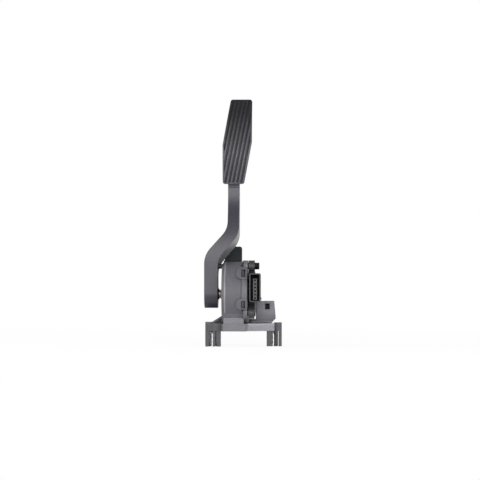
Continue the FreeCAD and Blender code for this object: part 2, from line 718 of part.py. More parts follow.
def make_slot():
    """The travel peg's blind slot: an arc about the pivot with a round at each end."""
    half = peg_radius + moving_gap
    body = doc.addObject("PartDesign::Body", "peg_slot_arc")
    end = drum_left + slot_depth
    start = drum_left - MARGIN
    outline(sketch_on(body, "XZ", dim(0)), [
        (start, peg_height - half), (end, peg_height - half),
        (end, peg_height + half), (start, peg_height + half)])
    sweep = body.newObject("PartDesign::Revolution", "peg_slot_sweep")
    sweep.Profile = body.Group[-2]
    axis = [item for item in body.Origin.OriginFeatures if item.Role == "X_Axis"][0]
    sweep.ReferenceAxis = (axis, [""])
    bind(sweep, "Angle", pedal_travel)
    sweep.Reversed = True
    place(body, dim(0), pivot_setback, pivot_height)
    rest_end = rod("peg_slot_idle", half, start, end, pivot_setback, pivot_height + peg_height)
    full_end = rod("peg_slot_full", half, start, end,
                   pivot_setback + peg_height * sine(pedal_travel),
                   pivot_height + peg_height * cosine(pedal_travel))
    return fuse("peg_slot", body, rest_end, full_end)


def stop_face(height):
    """Where the arm's back stands at full load, as a distance from the pivot."""
    turned = []
    for back, up in ((arm_back, back_bend - pivot_height), (stem_back, lean_end - pivot_height)):
        turned.append((back * cosine(pedal_travel) + up * sine(pedal_travel),
                       up * cosine(pedal_travel) - back * sine(pedal_travel)))
    (low_back, low_up), (high_back, high_up) = turned
    lean = (high_back - low_back) / (high_up - low_up)
    return pivot_setback + low_back + (height - pivot_height - low_up) * lean + moving_gap


def stop_back(inset):
    return stop_face(stop_top) + stop_depth + 2 * bumper_wall - inset


def stop_form(label, inset, bottom):
    """The stop from the side, moved in by its rubber, with the slant of the pressed arm."""
    top = stop_top - inset
    corners = [(stop_face(bottom) + inset, bottom), (stop_back(inset), bottom),
               (stop_back(inset), top), (stop_face(top) + inset, top)]
    body = prism(label, "YZ", corners, stop_left + inset, stop_left + stop_width - inset)

    def upper_side(edge):
        return runs_back(edge) and edge.BoundBox.ZMin > top.value - TOUCH
    round_edges(body, stop_round - inset, upper_side)
    return body


def make_housing(drum):
    """The drum on its plinth, down to the base plate's top."""
    plinth = block("plinth", (drum_left + plinth_inset, drum_right - plinth_inset),
                   (front_wall, pivot_setback + front_wall_reach),
                   (base_top, base_top + plinth_rise))
    pieces = [drum, plinth, rod("hub", hub_radius, hub_left, drum_left + 1),
              stop_form("stop_core", bumper_wall, core_bottom)]
    for name, middle in SNAPS.items():
        left = window_left + catch_gap
        pieces.append(front_patch("catch_" + name, left, left + catch_length, middle,
                                  window_height - 2 * catch_gap, drum_radius - 1, drum_radius + catch_rise))
    below = block("below_plinth", (dim(-FAR), dim(FAR)), (dim(-FAR), dim(FAR)), (dim(-FAR), base_top))
    bore = rod("drum_hollow", drum_bore, inner_left, drum_right + MARGIN)
    solids = [cut("housing_shell", fuse("housing_outside", *pieces), bore, below),
              rod("bearing_boss_inside", bearing_boss, drum_left, hub_left + bearing_length)]
    tools = [make_slot(), rod("shaft_bore", shaft_radius + running_gap + bush_wall + fixed_gap,
                              hub_left - MARGIN, hub_left + bearing_length + MARGIN)]
    for name, angle in LUGS.items():
        y, z = lug_place(angle)
        solids.append(rod("housing_lug_" + name, lug_radius, drum_right - lug_boss_depth, drum_right, y, z))
    for name in SCREWED:
        y, z = lug_place(LUGS[name])
        root_rod = rod("screw_root_rod_" + name, screw_root, drum_right - screw_reach, drum_right - 1, y, z)
        solids.append(common("screw_root_" + name, root_rod,
                             rod("screw_root_room_" + name, drum_radius - TOUCH, dim(0), dim(FAR))))
        tools.append(rod("screw_bore_" + name, screw_radius + fixed_gap,
                         drum_right - screw_reach + 1, drum_right + MARGIN, y, z))
    whole = cut("housing_cut", fuse("housing_whole", *solids), *tools)
    y, z = lug_place(lower_lug_angle)
    peg = rod("locating_peg", screw_radius, drum_right - 1, sensor_right - 1, y, z)
    keep("housing", fuse("housing_finished", whole, peg))


FEET = (("left", dim(0), dim(0)), ("right", right_foot_across, right_foot_back),
        ("rear", rear_foot_across, rear_foot_back))


def make_sleeves():
    for name, x, y in FEET:
        outer = post("sleeve_outside_" + name, sleeve_bore + sleeve_wall, x, y, dim(0), base_top)
        inner = post("sleeve_bore_" + name, sleeve_bore, x, y, dim(-1), base_top + 1)
        keep("mount_sleeve_" + name, cut("sleeve_" + name, outer, inner))


# Cover with its skirt, snap tabs, ears and bearing boss
def make_skirt():
    """The band of the cover that reaches over the drum, as far down as the plinth."""
    band = rod("skirt_outside", drum_radius + skirt_wall + skirt_gap, skirt_left, cover_right)
    room = rod("skirt_inside", drum_radius + skirt_gap, skirt_left - 1, drum_right)
    below = block("skirt_below", (dim(-FAR), dim(FAR)), (dim(-FAR), dim(FAR)), (dim(-FAR), skirt_bottom))
    return cut("skirt", band, room, below)


def make_cover():
    pieces = [rod("cover_disc", drum_radius, drum_right, cover_right), make_skirt(),
              rod("cover_boss", cover_boss, drum_right - cover_boss_depth, cover_right)]
    tools = [rod("cover_bore", shaft_radius + running_gap + bush_wall + fixed_gap,
                 drum_right - cover_boss_depth - 1, cover_right + 1)]
    for name, middle in SNAPS.items():
        pieces.append(snap_tab(name, middle))
        tools.append(front_patch("window_" + name, window_left, drum_right, middle, window_height,
                                 drum_radius - 1, drum_radius + snap_rise + MARGIN))
    for name, angle in LUGS.items():
        y, z = lug_place(angle)
        pieces.append(rod("cover_ear_" + name, lug_radius, drum_right, cover_right, y, z))
        tools.append(rod("ear_room_" + name, lug_radius + moving_gap, skirt_left - 1, drum_right, y, z))
        tools.append(rod("cover_hole_" + name, screw_hole, drum_right - 1, cover_right + 1, y, z))
    keep("drum_cover", cut("cover_drilled", fuse("cover_whole", *pieces), *tools))


def ring(label, name, inside, outside, start, end):
    body = cut(label + "_ring", rod(label + "_out", outside, start, end),
               rod(label + "_in", inside, start - 1, end + 1))
    return keep(name, body)


def make_bearings():
    outer = shaft_radius + running_gap + bush_wall
    inner = shaft_radius + running_gap
    flange = rod("bush_flange", flange_radius, hub_left - flange_thickness, hub_left)
    sleeve = rod("bush_sleeve", outer, hub_left - TOUCH, hub_left + bearing_length)
    bore = rod("bush_bore", inner, hub_left - flange_thickness - 1, hub_left + bearing_length + 1)
    keep("flanged_bush", cut("left_bush", fuse("left_bush_blank", flange, sleeve), bore))
    ring("right_bush", "cover_bush", inner, outer, drum_right - cover_boss_depth, cover_right)
    washer_left = arm_right + arm_boss
    ring("washer", "thrust_washer", inner, washer_radius, washer_left, washer_left + washer_thickness)
    keep("pivot_shaft", rod("shaft", shaft_radius, shaft_left, shaft_right))


# Spring carrier, springs, shoe and anchor inside the drum
carrier_left = hub_left + bearing_length + moving_gap
carrier_right = drum_right - cover_boss_depth - moving_gap - clip_thickness - TOUCH


def make_carrier():
    flange = rod("carrier_disc", carrier_radius, carrier_left, carrier_left + carrier_flange)
    hub = rod("carrier_sleeve", carrier_hub, carrier_left, carrier_right)
    bore = rod("carrier_bore", shaft_radius + fixed_gap, carrier_left - 1, carrier_right + 1)
    keep("spring_carrier", cut("carrier", fuse("carrier_blank", flange, hub), bore))
    clip_left = carrier_right + TOUCH
    clip_right = clip_left + clip_thickness
    keep("shaft_clip", cut("clip", bar("clip_blank", OCTAGON, clip_radius, clip_left, clip_right),
                           rod("clip_bore", shaft_radius + fixed_gap, clip_left - 1, clip_right + 1)))


def make_spring(name, coil, wire, start, end):
    """A coil of straight wire pieces, eight-sided, round the pivot."""
    turns = coil_turns.value
    steps = int(round(COIL_STEPS * turns))
    low = start.value + wire.value
    high = end.value - wire.value
    points = []
    for i in range(steps + 1):
        angle = 2 * math.pi * turns * i / steps
        points.append(FreeCAD.Vector(low + (high - low) * i / steps,
                                     pivot_setback.value + coil.value * math.cos(angle),
                                     pivot_height.value + coil.value * math.sin(angle)))
    path = Part.makePolygon(points)
    heading = points[1] - points[0]
    out = FreeCAD.Vector(0, 1, 0)
    side = heading.cross(out).normalize()
    angles = [2 * math.pi * k / OCTAGON for k in range(OCTAGON)]
    rim = [points[0] + out * (wire.value * math.cos(angle)) + side * (wire.value * math.sin(angle))
           for angle in angles]
    section = Part.makePolygon(rim + [rim[0]])
    item = doc.addObject("Part::Feature", name + "_coil")
    shell = Part.BRepOffsetAPI.MakePipeShell(path)
    shell.add(section)
    shell.setTransitionMode(1)
    shell.build()
    shell.makeSolid()
    item.Shape = shell.shape()
    return keep(name, item)


def make_inside():
    start = carrier_left + carrier_flange + moving_gap / 2
    end = drum_right - moving_gap
    make_spring("outer_return_spring", outer_coil, outer_wire, start, end)
    make_spring("inner_return_spring", inner_coil, inner_wire, start, carrier_right)
    shoe_left = carrier_left + carrier_flange + TOUCH
    body = doc.addObject("PartDesign::Body", "shoe_body")
    low = drum_bore - moving_gap - shoe_thickness
    high = drum_bore - moving_gap
    outline(sketch_on(body, "XZ", dim(0)), [
        (shoe_left, -high), (shoe_left + shoe_width, -high),
        (shoe_left + shoe_width, -low), (shoe_left, -low)])
    sweep = body.newObject("PartDesign::Revolution", "shoe_sweep")
    sweep.Profile = body.Group[-2]
    axis = [item for item in body.Origin.OriginFeatures if item.Role == "X_Axis"][0]
    sweep.ReferenceAxis = (axis, [""])
    bind(sweep, "Angle", shoe_spread)
    sweep.Midplane = True
    place(body, dim(0), pivot_setback, pivot_height)
    half = finger_width / 2
    finger = block("shoe_finger", (carrier_left, shoe_left + SINK),
                   (pivot_setback - half, pivot_setback + half),
                   (pivot_height - low - SINK, pivot_height - carrier_radius - TOUCH))
    keep("friction_shoe", fuse("shoe", body, finger))
    keep("spring_anchor", rod("anchor", anchor_radius, drum_right - anchor_length, drum_right,
                              pivot_setback + anchor_circle, pivot_height))


# Arm
def arm_front_view(inset):
    """Corners of the S-bent front view, moved in by a wall."""
    rise = bend_end - bend_start
    run = stem_left - arm_left
    slant = root(rise * rise + run * run)
    shift = inset * (slant - run) / rise
    left = arm_left + inset
    right = arm_right - inset
    up_left = stem_left + inset
    up_right = stem_right - inset
    return [
        (left, pivot_height - hub_end - OVERRUN),
        (right, pivot_height - hub_end - OVERRUN),
        (right, bend_start - bend_drop + shift),
        (up_right, bend_end - stem_drop + shift),
        (up_right, stem_top + OVERRUN),
        (up_left, stem_top + OVERRUN),
        (up_left, bend_end - shift),
        (left, bend_start - shift),
    ]


def arm_view_body(label, inset):
    start = pivot_setback - hub_end
    body = sloped_prism(label, arm_front_view(inset), start - MARGIN, VIEW_DEPTH, arm_slope)
    heights = [corner[1].value for corner in arm_front_view(inset)]
    low = min(heights) + 1
    high = max(heights) - 1

    def bend(edge):
        if not runs_back(edge):
            return False
        front = min(edge.Vertexes, key=lambda vertex: vertex.Point.y).Point
        return low < front.z < high
    round_edges(body, bend_radius, bend)
    return body


def side_view(label, front_shift, back_shift, bottom, top):
    """The arm seen from the side, with its front face and back moved."""
    front = pivot_setback - hub_end + front_shift
    stem = pivot_setback + stem_front + front_shift
    corners = [
        (front, bottom),
        (front, lean_start),
        (stem, lean_end),
        (stem, pad_bottom - MARGIN),
        (pivot_setback + front_shift, pad_bottom + neck_rise),
        (pivot_setback + front_shift, top),
        (pivot_setback + stem_top_back + back_shift, top),
        (pivot_setback + stem_back + back_shift, lean_end),
        (pivot_setback + arm_back + back_shift, back_bend),
        (pivot_setback + arm_back + back_shift, bottom),
    ]
    body = prism(label, "YZ", corners, arm_left - OVERRUN, stem_right + OVERRUN)
    for height, radius in ((lean_start, lean_round_low), (lean_end, lean_round_high)):
        def front_corner(edge):
            box = edge.BoundBox
            level = abs(box.ZMin - height.value) < TOUCH and box.ZLength < TOUCH
            return level and box.YMax < (pivot_setback + arm_back).value
        round_edges(body, radius, front_corner)
    return body


def hexagon(inset):
    """The pad's six-sided front view, moved in by a border."""
    half = pad_width / 2
    left = pad_middle - half + inset
    right = pad_middle + half - inset
    bottom = pad_bottom + inset
    top = pad_bottom + pad_height - inset
    slant_rise = pad_height - pad_straight
    slope = pad_side / slant_rise
    stretch = root(slope * slope + 1)
    run = pad_side - inset * (slope + 1 - stretch)
    lift = inset * (stretch - 1) / slope
    return [
        (left, bottom),
        (right - run, bottom),
        (right, pad_bottom + slant_rise + lift),
        (right, top),
        (left + run, top),
        (left, pad_bottom + pad_straight - lift),
    ]


def pad_prism(label, inset, corner):
    body = prism(label, "XZ", hexagon(inset), dim(-FAR), dim(FAR))
    round_edges(body, corner, runs_back)
    return body


def crown(label, radius):
    item = doc.addObject("Part::Cylinder", label)
    bind(item, "Radius", radius)
    bind(item, "Height", pad_width + 2 * OVERRUN)
    place(item, pad_middle - pad_width / 2 - OVERRUN, crown_middle, crown_height, X_AXIS)
    return item


def make_arm():
    view = arm_view_body("arm_view", dim(0))
    side = side_view("arm_side", dim(0), dim(0), pivot_height, stem_top)
    beam = common("arm_beam", view, side)
    channel_view = arm_view_body("channel_view", arm_side_wall)
    channel_bottom = pivot_height + hub_end + hub_wall
    channel_side = side_view("channel_side", arm_skin, dim(OVERRUN), channel_bottom, stem_top - hub_wall)
    channel = common("arm_channel", channel_view, channel_side)
    ribs = []
    count = int((stem_top.value - pivot_height.value - hub_end.value) / rib_pitch.value)
    for i in range(count):
        low = channel_bottom + rib_pitch * (i + 1)
        ribs.append(block("arm_rib_%d" % (i + 1), (arm_left - MARGIN, stem_right + MARGIN),
                          (dim(-FAR), dim(FAR)), (low, low + arm_rib)))
    hollow = cut("arm_hollow", channel, *ribs)
    ribbed = cut("arm_ribbed", beam, hollow)
    plate_ring = cut("plate_ring", crown("plate_outside", plate_curve),
                     crown("plate_inside", plate_curve - plate_thickness))
    plate = common("plate", pad_prism("plate_form", plate_inset, pad_corner), plate_ring)
    plate_front = common("plate_front", plate,
                         block("plate_half", (dim(-FAR), dim(FAR)), (dim(-FAR), crown_middle),
                               (dim(0), dim(FAR))))
    hub = rod("arm_hub", hub_end, arm_left, arm_right)
    boss = rod("arm_boss_out", arm_boss_radius, arm_right - 1, arm_right + arm_boss)
    peg = rod("travel_peg", peg_radius, arm_right - arm_side_wall, drum_left + slot_depth - moving_gap,
              pivot_setback, pivot_height + peg_height)
    blank = fuse("arm_blank", ribbed, hub, boss, peg)
    before = cut("before_plate", block("before_plate_box", (dim(-FAR), dim(FAR)), (dim(-FAR), crown_middle),
                                       (pad_bottom - 2 * MARGIN, dim(FAR))),
                 crown("before_plate_core", plate_curve - fixed_gap))
    stem = cut("arm_stem", blank, before)
    whole = fuse("arm_whole", stem, plate_front)
    bore = rod("arm_bore", shaft_radius + fixed_gap, arm_left - 1, arm_right + arm_boss + 1)
    keep("pedal_arm", cut("arm", whole, bore))


def make_pad():
    shell = cut("pad_ring", crown("pad_outside", pad_curve), crown("pad_inside", plate_curve))
    form = common("pad_form", pad_prism("pad_outline", dim(0), pad_corner), shell)
    front = common("pad_front_half", form,
                   block("pad_half", (dim(-FAR), dim(FAR)), (dim(-FAR), crown_middle),
                         (dim(0), dim(FAR))))
    slabs = []
    reach = int(math.ceil(pad_width.value / groove_pitch.value)) + 2
    for i in range(-reach, reach + 1):
        slab = doc.addObject("Part::Box", "groove_%d" % (i + reach + 1))
        bind(slab, "Length", groove_width)
        bind(slab, "Width", FAR)
        bind(slab, "Height", pad_height * 2)
        slab.Placement = FreeCAD.Placement(FreeCAD.Vector(), FreeCAD.Rotation(FreeCAD.Vector(0, 1, 0), 1))
        bind(slab, "Placement.Rotation.Angle", groove_lean)
        base = pad_middle + groove_pitch * (i + 0.5) - groove_width / 2
        bind(slab, "Placement.Base.x", base - pad_height * sine(groove_lean))
        bind(slab, "Placement.Base.y", -FAR / 2)
        bind(slab, "Placement.Base.z", pad_bottom + pad_height / 2 - pad_height * cosine(groove_lean))
        slabs.append(slab)
    lines = fuse("groove_lines", *slabs)
    field = common("groove_field", lines, pad_prism("groove_form", groove_border, pad_corner))
    grooves = cut("grooves", field, crown("groove_floor", pad_curve - groove_depth))
    keep("pedal_pad", cut("pad", front, grooves))


def make_bumper():
    block_form = stop_form("bumper_block", dim(0), bumper_bottom)
    flange = block("bumper_flange", (flange_left, stop_left + stop_width),
                   (stop_face(flange_top), stop_back(dim(0))), (bumper_bottom, flange_top))
    outside = fuse("bumper_outside", block_form, flange)
    inside = stop_form("bumper_inside", bumper_wall, bumper_bottom - 1)
    drum_room = rod("bumper_drum_room", drum_radius, dim(0), dim(FAR))
    keep("stop_bumper", cut("bumper", outside, inside, drum_room))


# Sensor, with its connector moulded on
def lug_arm(label, angle):
    """A web from the pivot axis to a lug."""
    item = doc.addObject("Part::Box", label)
    half = web_width / 2
    bind(item, "Length", sensor_width)
    bind(item, "Width", lug_circle)
    bind(item, "Height", half * 2)
    item.Placement = FreeCAD.Placement(FreeCAD.Vector(), FreeCAD.Rotation(FreeCAD.Vector(1, 0, 0), 1))
    bind(item, "Placement.Rotation.Angle", angle)
    bind(item, "Placement.Base.x", sensor_left)
    bind(item, "Placement.Base.y", pivot_setback + half * sine(angle))
    bind(item, "Placement.Base.z", pivot_height - half * cosine(angle))
    return item


def upright_edges(axis):
    def chosen(edge):
        line = edge.Vertexes[-1].Point - edge.Vertexes[0].Point
        return line.Length > 0 and abs(getattr(line, axis)) > 0.99 * line.Length
    return chosen


def make_socket(label, inset, front, back):
    corners = [
        (socket_left + inset, socket_bottom + inset),
        (socket_left + socket_width - inset, socket_bottom + inset),
        (socket_left + socket_width - inset, socket_bottom + socket_height - inset),
        (socket_left + inset, socket_bottom + socket_height - inset)]
    body = prism(label, "XZ", corners, front, back)
    round_edges(body, socket_corner - inset * 0.5, upright_edges("y"))
    return body


cavity_back = socket_mouth + socket_depth
socket_back = cavity_back + socket_floor
insert_front = cavity_back - insert_length
insert_left = socket_left + (socket_width - insert_width) / 2
insert_bottom = socket_bottom + socket_wall + insert_lift


def make_sensor():
    pieces = [rod("sensor_case", sensor_radius, sensor_left, sensor_right),
              rod("sensor_spigot", sensor_neck, cover_right, sensor_left + 1)]
    for name, angle in LUGS.items():
        y, z = lug_place(angle)
        pieces.append(rod("sensor_lug_" + name, lug_radius, sensor_left, sensor_right, y, z))
        pieces.append(block("sensor_pad_" + name, (cover_right, sensor_left + 1),
                            (y - lug_pad, y + lug_pad), (z - lug_pad, z + lug_pad)))
        pieces.append(lug_arm("sensor_web_" + name, angle))
    pieces.append(make_socket("socket_outside", dim(0), socket_mouth, socket_back))
    pieces.append(block("socket_neck", (socket_left, sensor_right), (socket_back - 1, pivot_setback),
                        (socket_bottom + 2, socket_bottom + socket_height - 2)))
    side = socket_left + socket_width
    pieces.append(block("socket_nub", (side - 1, side + nub_rise),
                        (socket_mouth, socket_mouth + nub_length),
                        (socket_bottom + nub_lift, socket_bottom + nub_lift + nub_height)))
    whole = fuse("sensor_whole", *pieces)
    tools = [make_socket("socket_inside", socket_wall, socket_mouth - 1, cavity_back),
             rod("sensor_hollow", sensor_radius - sensor_wall, sensor_left + sensor_wall,
                 sensor_right + 1),
             rod("sensor_shaft_hole", shaft_radius + shaft_room, cover_right - 1, sensor_right)]
    for name, angle in LUGS.items():
        y, z = lug_place(angle)
        tools.append(rod("sensor_hole_" + name, screw_hole, cover_right - 1, sensor_right + 1, y, z))
    keep("sensor_housing", cut("sensor", whole, *tools))

    ring("seal", "sensor_seal", sensor_neck + fixed_gap, sensor_neck + seal_width, cover_right, sensor_left)

    keep("sensor_lid", rod("lid", sensor_radius - sensor_wall - fixed_gap, sensor_right - lid_thickness,
                           sensor_right))
    board_right = sensor_right - lid_thickness - board_gap
    keep("circuit_board", bar("board", OCTAGON, sensor_radius - sensor_wall - board_gap,
                              board_right - board_thickness, board_right))
    rotor_left = sensor_left + sensor_wall + board_gap
    rotor = cut("rotor_blank", bar("rotor_vane", HEXAGON, rotor_radius, rotor_left,
                                   board_right - board_thickness - moving_gap),
                rod("rotor_bore", shaft_radius + fixed_gap, rotor_left - 1, shaft_right))
    keep("sensor_rotor", rotor)


def make_connector():
    body = block("insert_blank", (insert_left, insert_left + insert_width), (insert_front, cavity_back),
                 (insert_bottom, insert_bottom + insert_height))
    holes = []
    pins = []
    middle = insert_bottom + insert_height / 2
    for i in range(WAYS):
        z = middle + way_pitch * (i - (WAYS - 1) / 2)
        x = insert_left + insert_width / 2
        for group, label, width, front in ((holes, "way", way_width, insert_front - 1),
                                           (pins, "pin", pin_width, insert_front + pin_recess)):
            half = width / 2
            group.append(block("%s_%d" % (label, i + 1), (x - half, x + half), (front, cavity_back),
                               (z - half, z + half)))
    keep("terminal_block", cut("insert", body, *holes))
    keep("terminals", fuse("pins", *pins))


def make_screws():
    pieces = []
    for name in SCREWED:
        y, z = lug_place(LUGS[name])
        head = bar("head_" + name, HEXAGON, head_flats / root(dim(3)),
                   sensor_right, sensor_right + head_height, y, z)
        shank = rod("shank_" + name, screw_radius, drum_right - screw_reach + 1 + SINK,
                    sensor_right + SINK, y, z)
        pieces += [fuse("screw_" + name, head, shank)]
    group = doc.addObject("Part::Compound", "screw_group")
    group.Links = pieces
    keep("sensor_screws", group)


def make_bracket():
    """A bent plate seen from the front, with a blind pocket for a harness clip."""
    view = prism("bracket_view", "XZ", [
        (bracket_tail, base_top),
        (bracket_right - corner_run, base_top),
        (bracket_right, base_top + corner_rise),
        (bracket_right - bracket_taper, bracket_top),
        (bracket_left, bracket_top),
        (bracket_left, base_top + tail_height),
        (bracket_tail, base_top + tail_height)], dim(-FAR), dim(FAR))
    drop = crease_height - base_top
    flare = bracket_flare * 2
    back = bracket_front + bracket_thickness
    reach = bracket_right - bracket_tail
    bend = prism("bracket_bend", "YZ", [
        (bracket_front, bracket_top - crease_height + reach),
        (bracket_front, dim(0)),
        (bracket_front - flare, -drop * 2),
        (back - flare, -drop * 2),
        (back, dim(0)),
        (back, bracket_top - crease_height + reach)], -reach, reach)
    bend.Placement = FreeCAD.Placement(FreeCAD.Vector(), FreeCAD.Rotation(FreeCAD.Vector(0, -1, 0), 1))
    bind(bend, "Placement.Rotation.Angle", crease_slant)
    bind(bend, "Placement.Base.x", (bracket_left + bracket_right) / 2)
    bind(bend, "Placement.Base.z", crease_height)
    foot = block("bracket_foot", (bracket_tail, bracket_right - corner_run),
                 (bracket_front - bracket_flare, back), (base_top, base_top + bracket_thickness))
    right = clip_hole_left + clip_hole_width
    top = clip_hole_bottom + clip_hole_height
    boss = block("pocket_boss", (clip_hole_left - pocket_wall, right + pocket_wall),
                 (back - 1, bracket_front + pocket_depth + pocket_wall),
                 (clip_hole_bottom - pocket_wall, top + pocket_wall))
    pocket = block("clip_pocket", (clip_hole_left, right),
                   (bracket_front - 1, bracket_front + pocket_depth), (clip_hole_bottom, top))
    plate = common("bracket_plate", view, bend)
    keep("side_bracket", cut("bracket", fuse("bracket_blank", plate, foot, boss), pocket))


blank_drum = make_drum()
make_housing(blank_drum)
make_base(blank_drum)
make_foot("left_foot", dim(0), dim(0))
make_foot("rear_foot", rear_foot_across, rear_foot_back)
make_right_foot()
make_sleeves()
make_cover()
make_bearings()
make_carrier()
make_inside()
make_arm()
make_pad()
make_bumper()
make_sensor()
make_connector()
make_screws()
make_bracket()
doc.recompute()

for item in doc.Objects:
    if "Invalid" in item.State or "Error" in item.State:
        raise RuntimeError("%s could not be made: %s" % (item.Name, item.State))
for name, item in nodes.items():
    if item.Shape.isNull() or not item.Shape.isValid():
        raise RuntimeError("%s has no sound shape" % name)

os.makedirs("parts", exist_ok=True)
for name, item in nodes.items():
    item.Shape.exportStep("parts/%s.step" % name)
    box = item.Shape.BoundBox
    print("%-22s %2d solids %9.0f mm3  X %6.1f %6.1f  Y %6.1f %6.1f  Z %6.1f %6.1f" % (
        name, len(item.Shape.Solids), item.Shape.Volume,
        box.XMin, box.XMax, box.YMin, box.YMax, box.ZMin, box.ZMax))
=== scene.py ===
import json
import math

import bmesh
import bpy
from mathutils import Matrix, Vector


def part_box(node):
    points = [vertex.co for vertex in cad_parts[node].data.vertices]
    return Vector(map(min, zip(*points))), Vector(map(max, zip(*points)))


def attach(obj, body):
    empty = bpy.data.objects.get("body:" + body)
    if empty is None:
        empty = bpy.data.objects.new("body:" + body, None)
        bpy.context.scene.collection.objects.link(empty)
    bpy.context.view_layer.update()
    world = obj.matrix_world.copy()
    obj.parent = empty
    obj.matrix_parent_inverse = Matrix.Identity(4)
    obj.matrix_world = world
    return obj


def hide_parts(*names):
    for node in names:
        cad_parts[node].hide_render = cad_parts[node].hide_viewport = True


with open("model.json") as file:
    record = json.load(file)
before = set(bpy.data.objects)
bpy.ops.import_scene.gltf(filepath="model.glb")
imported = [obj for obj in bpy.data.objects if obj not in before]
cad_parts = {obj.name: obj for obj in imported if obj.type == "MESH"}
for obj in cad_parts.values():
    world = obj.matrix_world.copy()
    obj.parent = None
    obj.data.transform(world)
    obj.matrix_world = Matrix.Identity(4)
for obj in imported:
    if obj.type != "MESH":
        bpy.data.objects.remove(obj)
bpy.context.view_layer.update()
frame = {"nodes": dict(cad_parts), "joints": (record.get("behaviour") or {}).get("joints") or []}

bl_info = {
    "name": "Accelerator Pedal",
    "version": (1, 0, 0),
    "blender": (4, 5, 0),
    "location": "3D View > Sidebar > Pedal",
    "description": "Dresses an accelerator pedal's solids and builds its tread, springs, screws and stage",
    "category": "Object",
}

MM = 0.001
FAR = 1000.0  # mm, beyond the part on every side
WHITE = (1.0, 1.0, 1.0)
ROUND, HEXAGONAL = False, True
PIVOT = Vector(frame["joints"][0]["pos_m"])
NODE = frame["nodes"]


# Shader building
class Wire:
    """A shader socket. Arithmetic on it adds Math nodes."""

    def __init__(self, finish, socket):
        self.finish = finish
        self.socket = socket

    def math(self, operation, *values, **settings):
        settings["operation"] = operation
        return self.finish.node("ShaderNodeMath", settings, dict(enumerate(values)))

    def __add__(self, other):
        return self.math("ADD", self, other)

    __radd__ = __add__

    def __mul__(self, other):
        return self.math("MULTIPLY", self, other)

    __rmul__ = __mul__

    def __sub__(self, other):
        return self.math("SUBTRACT", self, other)

    def __rsub__(self, other):
        return self.math("SUBTRACT", other, self)

    def limited(self):
        return self.math("ADD", self, 0.0, use_clamp=True)

    def above(self, edge, width):
        """0 below the edge, 1 above it, with a soft step. A width below 0 turns it round."""
        return ((self - edge) * (1.0 / width)).limited()


class Finish:
    """A material or a world and the nodes that make it."""

    def __init__(self, owner):
        self.owner = owner
        owner.use_nodes = True
        self.tree = owner.node_tree
        self.tree.nodes.clear()

    def node(self, kind, settings=None, values=None, output=0):
        """Adds a node: its settings first, then its sockets' values or links."""
        item = self.tree.nodes.new(kind)
        for key, value in (settings or {}).items():
            setattr(item, key, value)
        for key, value in (values or {}).items():
            socket = item.inputs[key]
            if isinstance(value, Wire):
                self.tree.links.new(value.socket, socket)
            elif isinstance(value, (tuple, list)) and len(value) == 3 and socket.type == "RGBA":
                socket.default_value = (*value, 1.0)
            else:
                socket.default_value = value
        return Wire(self, item.outputs[output] if item.outputs else None)

    def place(self, stretch=(1.0, 1.0, 1.0)):
        """The piece's own coordinates in metres, scaled along each axis."""
        point = self.node("ShaderNodeTexCoord", output="Object")
        return self.node("ShaderNodeVectorMath", {"operation": "MULTIPLY"}, {0: point, 1: stretch})

    def noise(self, scale, detail=2.0, rough=0.5, stretch=(1.0, 1.0, 1.0)):
        """Cloudy noise from 0 to 1, with so many features to the metre."""
        return self.node("ShaderNodeTexNoise", {"normalize": True},
                         {"Vector": self.place(stretch), "Scale": scale, "Detail": detail,
                          "Roughness": rough})

    def blend(self, amount, first, second):
        """Mixes two colours."""
        return self.node("ShaderNodeMix", {"data_type": "RGBA"},
                         {0: amount, 6: first, 7: second}, output=2)

    def part(self, vector, axis):
        """A vector's part along X, Y or Z."""
        return self.node("ShaderNodeSeparateXYZ", None, {0: vector}, output=axis)

    def within(self, limits):
        """1 between the limits along each named axis and 0 outside them, with soft ends."""
        share = 1.0
        for axis, (low, high) in limits.items():
            place = self.part(self.place(), axis)
            share = place.above(low, 1.0 * MM) * place.above(high, -1.0 * MM) * share
        return share

    def rays(self):
        """1 for rays from the camera, for rays off gloss and for rays through glass."""
        paths = self.node("ShaderNodeLightPath").socket.node.outputs
        return [Wire(self, paths[name])
                for name in ("Is Camera Ray", "Is Glossy Ray", "Is Transmission Ray")]

    def sheltered(self, reach, full=0.80):
        """The mask for painted shade: 0 in the open, towards 1 in holes and corners no wider than the
        reach.
        """
        seen = self.node("ShaderNodeAmbientOcclusion", {"samples": 8}, {"Distance": reach}, output=1)
        return (1.0 - seen).above(0.30, full - 0.30)

    def bump(self, height, depth, strength=1.0, normal=None):
        values = {"Height": height, "Distance": depth, "Strength": strength}
        if normal is not None:
            values["Normal"] = normal
        return self.node("ShaderNodeBump", None, values)

    def soft_edges(self, radius):
        """Normals that round the piece's sharp edges."""
        return self.node("ShaderNodeBevel", {"samples": 6}, {"Radius": radius})

    def surface(self, **values):
        """The Principled shader and the material's output."""
        names = {key.replace("_", " "): value for key, value in values.items()}
        return self.close(self.node("ShaderNodeBsdfPrincipled", None, names))

    def close(self, shader):
        """Leads a shader to the material's output."""
        self.node("ShaderNodeOutputMaterial", None, {"Surface": shader})
        return self.owner


def new_finish(name):
    return Finish(bpy.data.materials.new(name))


def times(colour, factor):
    """A colour made paler or darker."""
    return tuple(c * factor for c in colour)


def band(paler, smoother=0.0, **limits):
    """A band of a moulding between limits in mm along the named axes.

    Its tone is painted light where it is paler and painted shade where it is darker, below 0; it is also
    smoother than the rest.
    """
    return {axis: (low * MM, high * MM) for axis, (low, high) in limits.items()}, smoother, paler


